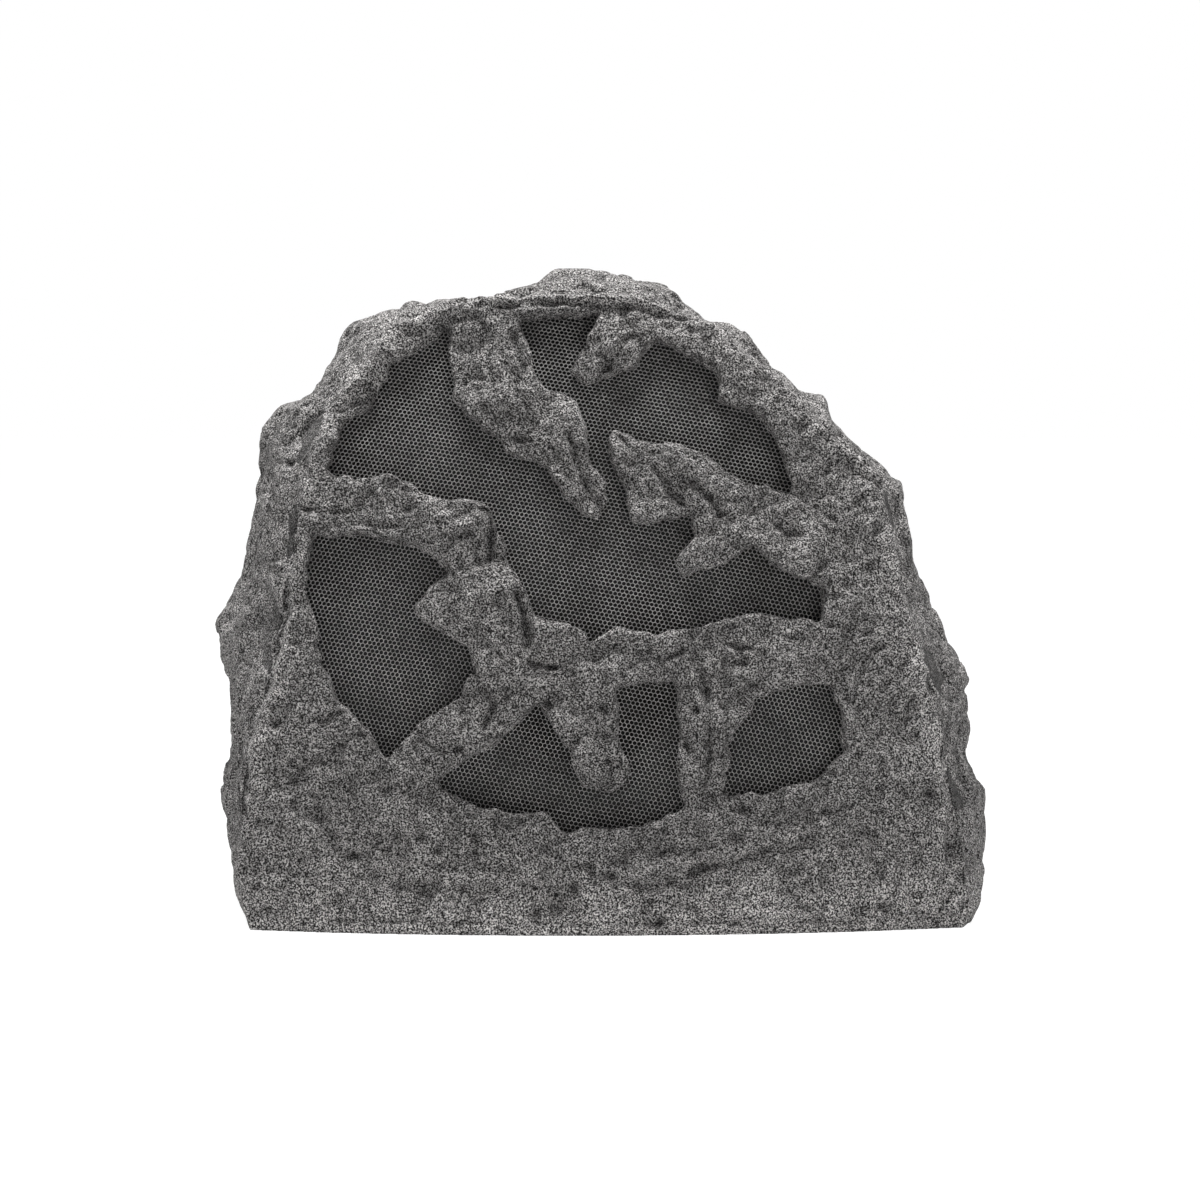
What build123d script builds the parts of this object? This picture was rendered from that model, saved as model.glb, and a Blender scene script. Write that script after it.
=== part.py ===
from build123d import *
import os
from math import asin, cos, radians, sin, sqrt, tan

os.makedirs("parts", exist_ok=True)

# Overall size of the boulder, in millimetres
depth = 320.0
half_width = 219.0
height = 357.0

# Walls of the boulder, and the bonded joint between its face and its body
wall = 7.0
front_wall = 10.0
bond_gap = 0.2

# Domed face: its lean, its radius and the point of the face that leads
front_lean = 14.0
front_radius = 950.0
dome_x = -12.0
dome_height = 195.0

# Sections behind the face: place of the foot as a share of the depth, lean, and share of the girth outline
shoulder_place = -0.369
shoulder_lean = 12.0
girth_place = -0.141
girth_lean = 6.0
rear_shoulder_place = 0.194
rear_shoulder_lean = -4.0
rear_shoulder_share = 0.93
rear_lean = -14.0
rear_share = 0.68

# Outlines from the left foot over the crown to the right foot, as (across, up) on their own planes
front_outline = [
    (-183, 0), (-186, 65), (-183, 101), (-166, 147), (-163, 183), (-157, 231), (-152, 257), (-145, 277),
    (-138, 293), (-112, 327), (-88, 339), (-52, 346), (-24, 347), (4, 346), (32, 340), (56, 332),
    (74, 324), (102, 297), (114, 284), (124, 273), (152, 245), (160, 191), (174, 137), (181, 95),
    (184, 69), (183, 0),
]
shoulder_outline = [
    (-193, 0), (-203, 67), (-200, 97), (-196, 151), (-190, 183), (-184, 229), (-177, 259), (-166, 277),
    (-156, 291), (-133, 325), (-104, 339), (-62, 346), (-24, 352), (4, 352), (36, 346), (60, 331),
    (80, 321), (110, 289), (122, 280), (130, 269), (166, 238), (175, 189), (194, 133), (199, 89),
    (205, 65), (206, 0),
]
girth_outline = [
    (-203, 0), (-215, 70), (-208, 98), (-half_width, 155), (-203, 181), (-195, 231), (-191, 265),
    (-181, 278), (-163, 286), (-141, 325), (-108, 338), (-60, 340), (-22, height), (4, height),
    (39, 348), (64, 327), (84, 323), (117, 286), (128, 284), (132, 270), (171, 236), (181, 183),
    (211, 126), (209, 77), (half_width, 61), (217, 0),
]

# Scoops that break up the outside, spread evenly round a point inside, clear of the ground and outer corners
scoop_heart_height = 0.32
scoop_directions = 250
scoop_turn = 137.508
scoop_radius = 95.0
scoop_variety = 0.4
scoop_step = 2.3
scoop_depth = 3.6
scoop_least = 1.0
scoop_floor = 30.0
scoop_margin = 32.0
corner_tolerance = 0.5
thin_wall = 2.6

# Band of the face that lies back between the ring round the windows and the foot, as (across, up)
ledge_depth = 3.0
ledge_outline = [
    (-230, 84), (-190, 88), (-165, 83), (-150, 66), (-138, 47), (-122, 40), (-104, 29), (-70, 26), (-4, 34),
    (14, 30), (32, 27), (58, 36), (95, 48), (140, 62), (190, 70), (230, 74), (230, 11), (188, 9), (90, 7),
    (0, 6), (-90, 7), (-172, 9), (-230, 11),
]

# Windows: the plane of their outlines, behind the lead of the dome, and the slope of their walls
window_setback = 20.0
window_draft = 4.0
upper_window = [
    (-82, 329), (-114, 307), (-124, 285), (-136, 278), (-147, 250), (-133, 244), (-111, 248),
    (-90, 234), (-60, 231), (-47, 201), (-32, 167), (-12, 163), (-4, 155), (11, 162), (32, 159),
    (85, 171), (119, 168), (120, 185), (93, 196), (83, 206), (62, 195), (45, 189), (40, 196), (51, 213),
    (48, 223), (26, 216), (15, 221), (13, 239), (3, 263), (8, 271), (57, 256), (75, 244), (104, 236),
    (100, 261), (88, 280), (66, 287), (64, 303), (33, 321), (19, 306), (-4, 295), (-17, 303), (0, 336),
    (-43, 335), (-33, 298), (-9, 285), (-4, 257), (6, 231), (-1, 220), (-10, 222), (-32, 253),
    (-46, 255), (-78, 287),
]
left_window = [
    (-154, 214), (-121, 212), (-90, 202), (-83, 192), (-99, 174), (-95, 166), (-71, 153), (-67, 141),
    (-75, 124), (-98, 110), (-110, 93), (-126, 113), (-139, 125), (-145, 142), (-150, 159), (-156, 185),
]
lower_window = [
    (-85, 79), (-60, 97), (-30, 120), (-16, 97), (-9, 79), (6, 74), (19, 85), (11, 104), (10, 129),
    (40, 134), (43, 109), (41, 89), (45, 69), (25, 57), (-20, 56), (-28, 64), (-60, 66),
]
right_window = [
    (84, 124), (69, 99), (68, 75), (88, 75), (117, 83), (129, 97), (130, 113), (123, 133), (102, 132),
]
windows = [upper_window, left_window, lower_window, right_window]

# Flange inside the foot of the boulder, and the recess under it for the base
recess_height = 7.0
flange_thickness = 6.0
flange_width = 20.0

# Perforated sheet behind the windows, with a coarse perforation
sheet_gap = 0.2
sheet_thickness = 1.2
sheet_inset = 6.0
sheet_foot = 37.0
hole_pitch = 27.0
hole_radius = 8.0
hole_margin = 5.0
hole_rows_slope = -10.8
hole_rows = 8

# Spacers that hold the baffle off the face, as (across, up) on the plane of the windows
posts = [(-115, 67), (72, 55), (155, 109), (133, 218), (13, 322), (-61, 321), (-134, 229), (-153, 115)]
post_radius = 5.0
post_clearance = 0.6
baffle_setback = 30.0
baffle_thickness = 9.0
baffle_inset = 8.0
baffle_rim_width = 4.0
baffle_rim_height = 6.0
seal_inset = 7.0
seal_width = 8.0

# Screws with pan heads: shank and head
screw_clearance = 0.25
baffle_shank_radius = 1.6
baffle_head_radius = 3.6
baffle_head_height = 2.4
baffle_screw_bite = 4.5
woofer_shank_radius = 1.8
woofer_head_radius = 3.5
woofer_head_height = 2.4
woofer_screw_length = 13.0
tweeter_shank_radius = 1.4
tweeter_head_radius = 2.8
tweeter_head_height = 1.8
tweeter_screw_length = 11.0

# Woofer: place on the baffle, frame and moving parts, outward from the baffle's face
woofer_place = (-5, 151)
woofer_hole_radius = 73.0
woofer_flange_radius = 84.0
woofer_flange_bore = 66.5
woofer_flange_thickness = 4.0
woofer_gasket_thickness = 1.5
woofer_screw_circle = 79.0
woofer_screws_count = 6
woofer_screws_start = 30.0
basket_wall = 4.0
basket_mouth_radius = 71.0
basket_shelf_radius = 50.0
basket_shelf_bore = 38.0
basket_shelf_depth = 38.0
basket_floor_radius = 36.0
basket_floor_bore = 20.0
basket_depth = 56.0
basket_plate = 2.0
basket_window_width = 34.0
basket_window_top = 8.0
basket_window_foot = 34.0
basket_windows = 6
cone_rim_radius = 62.5
cone_lip = 5.0
cone_thickness = 1.2
cone_neck_depth = 20.0
glue_gap = 0.15
roll_radius = 5.0
surround_thickness = 1.0
surround_lip = 2.1
dust_cap_radius = 22.0
dust_cap_rise = 7.0
dust_cap_thickness = 0.8

# Magnet system of the woofer
pole_radius = 15.0
pole_vent_radius = 5.0
former_gap = 0.5
former_thickness = 0.45
former_end_depth = 66.0
winding_thickness = 0.65
winding_top_depth = 52.0
winding_length = 12.5
plate_gap = 0.6
top_plate_radius = 42.0
top_plate_thickness = 6.0
magnet_radius = 45.0
magnet_bore = 22.0
magnet_thickness = 16.0
back_plate_radius = 42.0
back_plate_thickness = 7.0
spider_thickness = 0.6
spider_wave = 1.6
spider_waves = 5
spider_collar = 2.0
spider_lip = 6.0

# Terminal strip on a tab of the woofer's frame
strip_width = 22.0
strip_height = 12.0
strip_thickness = 1.6
strip_reach = 57.0
tab_margin = 1.0
blade_width = 6.3
blade_thickness = 0.8
blade_length = 8.4
blade_spacing = 12.0

# Tweeter
tweeter_place = (-22, 277)
tweeter_hole_radius = 24.0
tweeter_plate_radius = 38.0
tweeter_plate_thickness = 4.0
tweeter_horn_radius = 28.0
tweeter_throat_radius = 13.6
tweeter_throat_length = 1.0
tweeter_spigot_clearance = 0.5
tweeter_spigot_wall = 5.0
tweeter_spigot_length = 6.0
tweeter_screw_circle = 33.0
tweeter_screws_count = 4
tweeter_screws_start = 45.0
tweeter_dome_radius = 12.5
tweeter_dome_rise = 4.5
tweeter_film = 0.5
tweeter_film_gap = 0.3
tweeter_coil_length = 4.2
tweeter_cup_clearance = 0.3
tweeter_cup_wall = 4.8
tweeter_cup_floor = 4.0
tweeter_cup_length = 18.8
tweeter_magnet_radius = 11.0
tweeter_magnet_thickness = 8.0
tweeter_pole_thickness = 5.0
tweeter_coil_gap = 0.4
tweeter_strip_radius = 9.0
tweeter_blade_spacing = 8.0

# Base plate, its gasket and its countersunk screws
base_lift = 0.8
base_thickness = 4.0
base_gap = 0.6
base_rib_thickness = 3.0
base_rib_height = 5.0
base_rib_spacing = 92.0
base_rib_length = 220.0
base_shank_radius = 1.9
base_head_radius = 3.8
base_head_height = 2.0
base_socket_radius = 1.6
base_socket_depth = 1.2
base_screw_bite = 5.0
front_screw_spread = 108.0
rear_screw_spread = 90.0

# Crossover board and what it carries, on bosses of the base plate
board_y = 30.0
board_length = 100.0
board_width = 64.0
board_thickness = 1.6
board_boss_radius = 4.0
board_boss_height = 8.0
board_hole_inset = 6.0
board_shank_radius = 1.4
board_head_radius = 2.8
board_head_height = 1.8
board_screw_length = 8.0
inductor_place = (-24, 36)
inductor_radius = 17.0
inductor_bore = 7.0
inductor_height = 16.0
capacitor_x = 24.0
capacitor_rows = (34, 51)
capacitor_radius = 7.0
capacitor_length = 30.0
resistor_place = (24, 18)
resistor_size = (24, 9, 9)
block_place = (-22, 7)
block_size = (30, 9, 11)
block_screw_radius = 2.0
block_screw_depth = 4.0
block_ways = 3
part_lift = 0.1

# Leads from the board to the drivers
lead_radius = 1.9
bend_share = 0.45
plug_size = (17, 9)
plug_length = 9.0
woofer_lead_bends = [(-5, -38, 58), (2, 3, 48)]
tweeter_lead_bends = [(-22, -10, 243), (-16, 24, 215), (-9, 44, 170), (-3, 51, 121), (1, 51, 70)]

# Cable gland in a pocket of the rear wall, outward from the floor of the pocket
gland_place = (-40, 60)
gland_pocket_radius = 17.0
gland_pocket_depth = 22.0
gland_thread_radius = 6.0
gland_hole_clearance = 0.2
gland_bore = 4.2
gland_hex_radius = 9.6
gland_hex_height = 5.0
gland_seal_radius = 9.5
gland_seal_thickness = 1.5
gland_spigot = 7.0
gland_nut_thickness = 5.0
gland_tail = 1.0
gland_fit = 0.1
grommet_bore = 3.2
grommet_head_radius = 6.4
grommet_head_length = 6.0
gland_cap_radius = 8.6
gland_cap_lip = 1.8
gland_cap_mouth = 4.0

# Planes and the centre of the dome, placed so that the foot of the face stands at the front
up_face = Vector(0, sin(radians(front_lean)), cos(radians(front_lean)))
out_of_face = Vector(0, -cos(radians(front_lean)), sin(radians(front_lean)))
dome_offset = up_face * dome_height - out_of_face * front_radius
front_y = -depth / 2 - dome_offset.Y + sqrt(front_radius**2 - dome_offset.Z**2)
dome_centre = Vector(dome_x, front_y, 0) + dome_offset


def leaning_plane(y, lean):
    """Upright plane across the boulder that leans back by an angle, its outward side to the front."""
    return Plane((0, y, 0), x_dir=(1, 0, 0), z_dir=(0, -cos(radians(lean)), sin(radians(lean))))


front_plane = leaning_plane(front_y, front_lean)
rear_plane = leaning_plane(depth / 2, rear_lean)
window_plane = leaning_plane(front_y + window_setback, front_lean)
baffle_plane = window_plane.offset(-baffle_setback)
sections = [
    (front_plane, front_outline),
    (leaning_plane(shoulder_place * depth, shoulder_lean), shoulder_outline),
    (leaning_plane(girth_place * depth, girth_lean), girth_outline),
    (
        leaning_plane(rear_shoulder_place * depth, rear_shoulder_lean),
        [(x * rear_shoulder_share, z * rear_shoulder_share) for x, z in girth_outline],
    ),
    (rear_plane, [(x * rear_share, z * rear_share) for x, z in girth_outline]),
]
inner_sections = sections[:-1] + [(rear_plane.offset(wall), sections[-1][1])]
foot_outline = [(outline[0][0], plane.origin.Y) for plane, outline in sections]
foot_outline += [(outline[-1][0], plane.origin.Y) for plane, outline in reversed(sections)]
flange_top = recess_height + flange_thickness
sheet_depth = front_wall + sheet_gap
sheet_back = sheet_depth + sheet_thickness


def trim_to_dome(depth_below):
    """Keep what lies behind the domed face, or behind a dome parallel to it."""
    with Locations(dome_centre):
        Sphere(front_radius - depth_below, mode=Mode.INTERSECT)


def foot_of_dome(x, depth_below):
    """Where the dome, or a dome parallel to it, meets the ground at a place across the boulder."""
    radius = front_radius - depth_below
    return dome_centre.Y - sqrt(radius**2 - dome_centre.Z**2 - (x - dome_x) ** 2)


def dome_above_baffle(place, depth_below):
    """Height of a dome parallel to the face above the baffle, at a place on its plane."""
    aside = (place[0] - dome_x) ** 2 + (place[1] - dome_height) ** 2
    return sqrt((front_radius - depth_below) ** 2 - aside) - front_radius + window_setback + baffle_setback


def closed_outline(plane, points, inset=0.0):
    """Sketch of a closed outline of straight runs, drawn in by an inset."""
    with BuildSketch(plane) as outline:
        with BuildLine():
            Polyline(*points, close=True)
        make_face()
        if inset:
            offset(amount=-inset, kind=Kind.INTERSECTION)
    return outline.sketch


def face_region(plane, inset):
    """Sketch of the outline of the face, drawn in, above the foot of the perforated sheet."""
    with BuildSketch(plane) as region:
        with BuildLine():
            Polyline(*front_outline, close=True)
        make_face()
        offset(amount=-inset, kind=Kind.INTERSECTION)
        with Locations((0, sheet_foot + inset - sheet_inset)):
            Rectangle(2 * half_width, height, align=(Align.CENTER, Align.MIN), mode=Mode.INTERSECT)
    return region.sketch


def seat_at(plane, place):
    """The plane moved to a place on itself."""
    return Plane(plane.location * Location((place[0], place[1], 0)))


def turning_plane(seat):
    """Plane for a profile as (radius, height above the seat)."""
    return Plane(seat.origin, x_dir=seat.x_dir, z_dir=seat.y_dir * -1)


def turn(seat, points):
    """Turn a closed profile of straight runs about the axis of a seat."""
    revolve(closed_outline(turning_plane(seat), points), axis=Axis(seat.origin, seat.z_dir))


def ring(seat, bore, radius, foot, top):
    """Flat ring about the axis of a seat, between two heights."""
    with BuildSketch(seat.offset(foot)) as washer:
        Circle(radius)
        if bore:
            Circle(bore, mode=Mode.SUBTRACT)
    extrude(washer.sketch, amount=top - foot)


def bore_holes(plane, places, radius, start, end):
    """Round holes along the normal of a plane, between two heights."""
    with BuildSketch(plane.offset(start)) as holes:
        with Locations(*places):
            Circle(radius)
    extrude(holes.sketch, amount=end - start, mode=Mode.SUBTRACT)


def pan_screw(seat, shank_radius, length, head_radius, head_height):
    """Screw with a round head on a seat and its shank below it."""
    profile = [
        (0, -length), (shank_radius, -length), (shank_radius, 0), (head_radius, 0),
        (head_radius, head_height), (0, head_height),
    ]
    turn(seat, profile)


def pan_screws(plane, places, shank_radius, length, head_radius, head_height):
    """Like screws at places on a plane."""
    for place in places:
        pan_screw(seat_at(plane, place), shank_radius, length, head_radius, head_height)


def dome_profile(seat, radius, rise, foot, thickness, inner_radius):
    """Profile of a thin dome about the axis of a seat, from its rim to its crown."""
    def crown_arc(rim, height):
        sphere = (rim**2 + height**2) / (2 * height)
        half_angle = asin(rim / sphere) / 2
        middle = (sphere * sin(half_angle), foot + height - sphere * (1 - cos(half_angle)))
        return (rim, foot), middle, (0, foot + height)

    with BuildSketch(turning_plane(seat)) as profile:
        with BuildLine():
            outer = ThreePointArc(*crown_arc(radius, rise + thickness))
            inner = ThreePointArc(*crown_arc(inner_radius, rise))
            Line(outer @ 0, inner @ 0)
            Line(outer @ 1, inner @ 1)
        make_face()
    return profile.sketch


def on_circle(place, radius, count, start):
    """Places evenly spaced on a circle."""
    angles = [radians(start + 360 * index / count) for index in range(count)]
    return [(place[0] + radius * cos(angle), place[1] + radius * sin(angle)) for angle in angles]


def lead_radii(points):
    """Radius of the bend at each inner point of a lead, as large as its two runs allow."""
    radii = []
    for before, corner, after in zip(points, points[1:], points[2:]):
        run_in = corner - before
        run_out = after - corner
        turn_angle = radians(run_in.get_angle(run_out))
        radii.append(bend_share * min(run_in.length, run_out.length) / tan(turn_angle / 2))
    return radii


def lead_points(plug_plane, bends):
    """Route of a lead from inside its plug, over its bends, straight down to the board."""
    start = plug_plane.offset(-plug_length / 2).origin
    last_x, last_y, _ = bends[-1]
    return [start, *[Vector(*bend) for bend in bends], Vector(last_x, last_y, board_top)]


# Boulder, solid
with BuildPart() as boulder:
    loft([closed_outline(plane, outline) for plane, outline in sections], ruled=True)
    trim_to_dome(0)

# Chamber inside the boulder, above the flange
with BuildPart() as chamber:
    loft([closed_outline(plane, outline, wall) for plane, outline in inner_sections], ruled=True)
    trim_to_dome(front_wall)
    split(bisect_by=Plane.XY.offset(flange_top), keep=Keep.TOP)

# Outer corners of the boulder above the ground, which set its size
limits = boulder.part.bounding_box()
outer_corners = [
    corner
    for corner in boulder.part.vertices()
    if corner.Z > corner_tolerance
    and min(corner.X - limits.min.X, limits.max.X - corner.X, limits.max.Z - corner.Z) < corner_tolerance
]

# Boulder broken up by scoops, where rays from inside leave it, none so deep that the wall gets thin
scoop_heart = Vector(0, 0, scoop_heart_height * height)
with BuildPart() as rock:
    add(boulder.part)
    for index in range(scoop_directions):
        rise = 1 - 2 * (index + 0.5) / scoop_directions
        angle = radians(scoop_turn * index)
        spread = sqrt(1 - rise**2)
        ray = Axis(scoop_heart, (spread * cos(angle), spread * sin(angle), rise))
        point, normal = boulder.part.find_intersection_points(ray)[-1]
        clearance = min((point - Vector(*corner)).length for corner in outer_corners)
        if point.Z < scoop_floor or clearance < scoop_margin:
            continue
        radius = scoop_radius * (1 + scoop_variety * sin(scoop_step * index))
        centre = point + normal * (radius - scoop_depth)
        reach = min(radius, chamber.part.distance_to(Vertex(centre)) - thin_wall)
        if reach > radius - scoop_depth + scoop_least:
            with Locations(centre):
                Sphere(reach, mode=Mode.SUBTRACT)

# Band of stone taken off the face below the ring
with BuildPart() as ledge:
    extrude(closed_outline(window_plane, ledge_outline), amount=window_setback)
    with Locations(dome_centre):
        Sphere(front_radius - ledge_depth, mode=Mode.SUBTRACT)

# Recess for the base, and the hatch through the flange
with BuildPart() as base_recess:
    extrude(closed_outline(Plane.XY, foot_outline, wall), amount=recess_height)
    trim_to_dome(front_wall)
with BuildPart() as hatch:
    extrude(closed_outline(Plane.XY, foot_outline, wall + flange_width), amount=flange_top)
    trim_to_dome(front_wall + flange_width)

# Places of the base screws, in the middle of the flange
flange_middle = wall + flange_width / 2
side_screws = [
    (side * (half - flange_middle), plane.origin.Y)
    for plane, outline in sections[1:-1]
    for side, half in ((-1, -outline[0][0]), (1, outline[-1][0]))
]
front_screws = [
    (x, foot_of_dome(x, front_wall + flange_width / 2))
    for x in (dome_x - front_screw_spread, dome_x, dome_x + front_screw_spread)
]
rear_screws = [(x, depth / 2 - flange_middle) for x in (-rear_screw_spread, 0, rear_screw_spread)]
base_screw_places = side_screws + front_screws + rear_screws

# Seat of the cable gland on the floor of its pocket, facing out of the rear wall
pocket_floor = seat_at(rear_plane, gland_place).offset(gland_pocket_depth)
gland_seat = Plane(pocket_floor.origin, x_dir=(1, 0, 0), z_dir=rear_plane.z_dir * -1)

# Rock face: the domed front with its windows, and holes for the baffle screws behind
with BuildPart() as rock_face:
    add(rock.part)
    add(ledge.part, mode=Mode.SUBTRACT)
    with Locations(dome_centre):
        Sphere(front_radius - front_wall, mode=Mode.SUBTRACT)
    for window in windows:
        opening = closed_outline(window_plane, window)
        extrude(opening, amount=window_setback, taper=-window_draft, mode=Mode.SUBTRACT)
        extrude(opening, amount=-baffle_setback / 2, mode=Mode.SUBTRACT)
    for place in posts:
        wall_height = dome_above_baffle(place, front_wall)
        bore_holes(baffle_plane, [place], baffle_shank_radius, 0, wall_height + baffle_screw_bite)

# Rock shell: the body behind the face, with its flange and the pocket for the gland
with BuildPart() as rock_shell:
    add(rock.part)
    add(ledge.part, mode=Mode.SUBTRACT)
    trim_to_dome(front_wall + bond_gap)
    add(chamber.part, mode=Mode.SUBTRACT)
    add(base_recess.part, mode=Mode.SUBTRACT)
    add(hatch.part, mode=Mode.SUBTRACT)
    ring(gland_seat, 0, gland_pocket_radius + wall, -wall, gland_pocket_depth)
    bore_holes(gland_seat, [(0, 0)], gland_pocket_radius, 0, gland_pocket_depth)
    bore_holes(Plane.XY, base_screw_places, base_shank_radius, 0, recess_height + base_screw_bite)
    bore_holes(gland_seat, [(0, 0)], gland_thread_radius + gland_hole_clearance, -2 * wall, wall)

# Spacers between the face and the baffle
with BuildPart() as baffle_spacers:
    with BuildSketch(baffle_plane):
        with Locations(*posts):
            Circle(post_radius)
            Circle(baffle_shank_radius + screw_clearance, mode=Mode.SUBTRACT)
    extrude(amount=baffle_setback + window_setback)
    trim_to_dome(front_wall + bond_gap)

# Places of the holes in the sheet, in sloping staggered rows inside a plain margin
hole_slope = radians(hole_rows_slope)
hole_plane = Plane(
    seat_at(window_plane, (dome_x, dome_height)).origin,
    x_dir=window_plane.x_dir * cos(hole_slope) + window_plane.y_dir * sin(hole_slope),
    z_dir=window_plane.z_dir,
)
hole_field = face_region(window_plane, sheet_inset + hole_margin + hole_radius).face()
hole_grid = [
    (hole_pitch * (column + row % 2 / 2), hole_pitch * sqrt(3) / 2 * row)
    for row in range(-hole_rows, hole_rows + 1)
    for column in range(-hole_rows, hole_rows + 1)
]
hole_places = [
    place for place in hole_grid if hole_field.is_inside(hole_plane.from_local_coords(Vector(*place, 0)))
]

# Perforated sheet, pressed to the dome of the face
with BuildPart() as grille_sheet:
    extrude(face_region(window_plane, sheet_inset), amount=window_setback, both=True)
    trim_to_dome(sheet_depth)
    with Locations(dome_centre):
        Sphere(front_radius - sheet_back, mode=Mode.SUBTRACT)
    bore_holes(window_plane, posts, post_radius + post_clearance, -window_setback, window_setback)
    with BuildSketch(hole_plane.offset(-window_setback)) as holes:
        with Locations(*hole_places):
            RegularPolygon(hole_radius, 6)
    extrude(holes.sketch, amount=2 * window_setback, mode=Mode.SUBTRACT)

# Foam seal between the sheet and the baffle
with BuildPart() as baffle_seal:
    extrude(face_region(baffle_plane, seal_inset), amount=baffle_setback)
    extrude(face_region(baffle_plane, seal_inset + seal_width), amount=baffle_setback, mode=Mode.SUBTRACT)
    trim_to_dome(sheet_back + sheet_gap)

# Seats of the two drivers on the face of the baffle
woofer_seat = seat_at(baffle_plane, woofer_place)
tweeter_seat = seat_at(baffle_plane, tweeter_place)
woofer_screw_places = on_circle(
    woofer_place, woofer_screw_circle, woofer_screws_count, woofer_screws_start
)
tweeter_screw_places = on_circle(
    tweeter_place, tweeter_screw_circle, tweeter_screws_count, tweeter_screws_start
)

# Baffle: a board with a stiffening rim behind it
with BuildPart() as baffle:
    extrude(face_region(baffle_plane, baffle_inset), amount=-baffle_thickness)
    rim_plane = baffle_plane.offset(-baffle_thickness)
    extrude(face_region(rim_plane, baffle_inset), amount=-baffle_rim_height)
    extrude(
        face_region(rim_plane, baffle_inset + baffle_rim_width),
        amount=-baffle_rim_height,
        mode=Mode.SUBTRACT,
    )
    bore_holes(baffle_plane, [woofer_place], woofer_hole_radius, 0, -baffle_thickness)
    bore_holes(baffle_plane, [tweeter_place], tweeter_hole_radius, 0, -baffle_thickness)
    bore_holes(baffle_plane, posts, baffle_shank_radius + screw_clearance, 0, -baffle_thickness)
    bore_holes(baffle_plane, woofer_screw_places, woofer_shank_radius, 0, -baffle_thickness)
    bore_holes(baffle_plane, tweeter_screw_places, tweeter_shank_radius, 0, -baffle_thickness)

# Baffle screws, driven from behind through the spacers into the face
with BuildPart() as baffle_screws:
    for place in posts:
        screw_seat = seat_at(rim_plane, place)
        length = baffle_thickness + dome_above_baffle(place, front_wall) + baffle_screw_bite
        pan_screw(
            Plane(screw_seat.origin, x_dir=screw_seat.x_dir * -1, z_dir=screw_seat.z_dir * -1),
            baffle_shank_radius,
            length,
            baffle_head_radius,
            baffle_head_height,
        )

# Woofer gasket and frame
flange_back = woofer_gasket_thickness
flange_front = flange_back + woofer_flange_thickness
shelf_back = -basket_shelf_depth - basket_plate
floor_front = -basket_depth + basket_plate
strip_place = (0, -strip_reach)
with BuildPart() as woofer_gasket:
    ring(woofer_seat, woofer_hole_radius, woofer_flange_radius, 0, flange_back)
    bore_holes(
        woofer_seat,
        on_circle((0, 0), woofer_screw_circle, woofer_screws_count, woofer_screws_start),
        woofer_shank_radius + screw_clearance,
        0,
        flange_back,
    )
with BuildPart() as woofer_basket:
    turn(
        woofer_seat,
        [
            (woofer_flange_radius, flange_back),
            (woofer_flange_radius, flange_front),
            (woofer_flange_bore, flange_front),
            (woofer_flange_bore, flange_back),
            (basket_shelf_radius - basket_wall, -basket_shelf_depth),
            (basket_shelf_bore, -basket_shelf_depth),
            (basket_floor_radius - basket_plate, floor_front),
            (basket_floor_bore, floor_front),
            (basket_floor_bore, -basket_depth),
            (basket_floor_radius, -basket_depth),
            (basket_shelf_bore + basket_plate, shelf_back),
            (basket_shelf_radius, shelf_back),
            (basket_mouth_radius, flange_back),
        ],
    )
    with BuildSketch(woofer_seat.offset(-basket_window_foot)) as side_windows:
        with PolarLocations((basket_shelf_radius + basket_mouth_radius) / 2, basket_windows):
            Rectangle(basket_mouth_radius - basket_shelf_bore, basket_window_width)
    extrude(side_windows.sketch, amount=basket_window_foot - basket_window_top, mode=Mode.SUBTRACT)
    bore_holes(
        woofer_seat,
        on_circle((0, 0), woofer_screw_circle, woofer_screws_count, woofer_screws_start),
        woofer_shank_radius + screw_clearance,
        flange_back,
        flange_front,
    )
    tab_end = strip_reach + strip_height / 2 + tab_margin
    with BuildSketch(woofer_seat.offset(shelf_back)) as strip_tab:
        with Locations((0, -tab_end)):
            Rectangle(
                strip_width + 2 * tab_margin,
                tab_end - basket_shelf_radius + basket_wall,
                align=(Align.CENTER, Align.MIN),
            )
    extrude(strip_tab.sketch, amount=basket_plate)
with BuildPart() as woofer_screws:
    pan_screws(
        baffle_plane.offset(flange_front),
        woofer_screw_places,
        woofer_shank_radius,
        woofer_screw_length,
        woofer_head_radius,
        woofer_head_height,
    )

# Terminal strip and its blades
strip_back = shelf_back - strip_thickness
with BuildPart() as terminal_strip:
    with BuildSketch(woofer_seat.offset(strip_back)):
        with Locations(strip_place):
            Rectangle(strip_width, strip_height)
    extrude(amount=strip_thickness)
with BuildPart() as terminal_tabs:
    with BuildSketch(woofer_seat.offset(strip_back)):
        with Locations(strip_place):
            with GridLocations(blade_spacing, 0, 2, 1):
                Rectangle(blade_thickness, blade_width)
    extrude(amount=-blade_length)

# Magnet system
plate_back = -basket_depth - top_plate_thickness
magnet_back = plate_back - magnet_thickness
former_bore = pole_radius + former_gap
former_radius = former_bore + former_thickness
winding_radius = former_radius + winding_thickness
with BuildPart() as top_plate:
    ring(woofer_seat, winding_radius + plate_gap, top_plate_radius, plate_back, -basket_depth)
with BuildPart() as magnet:
    ring(woofer_seat, magnet_bore, magnet_radius, magnet_back, plate_back)
with BuildPart() as back_plate:
    turn(
        woofer_seat,
        [
            (pole_vent_radius, magnet_back - back_plate_thickness),
            (back_plate_radius, magnet_back - back_plate_thickness),
            (back_plate_radius, magnet_back),
            (pole_radius, magnet_back),
            (pole_radius, -basket_depth),
            (pole_vent_radius, -basket_depth),
        ],
    )

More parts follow.
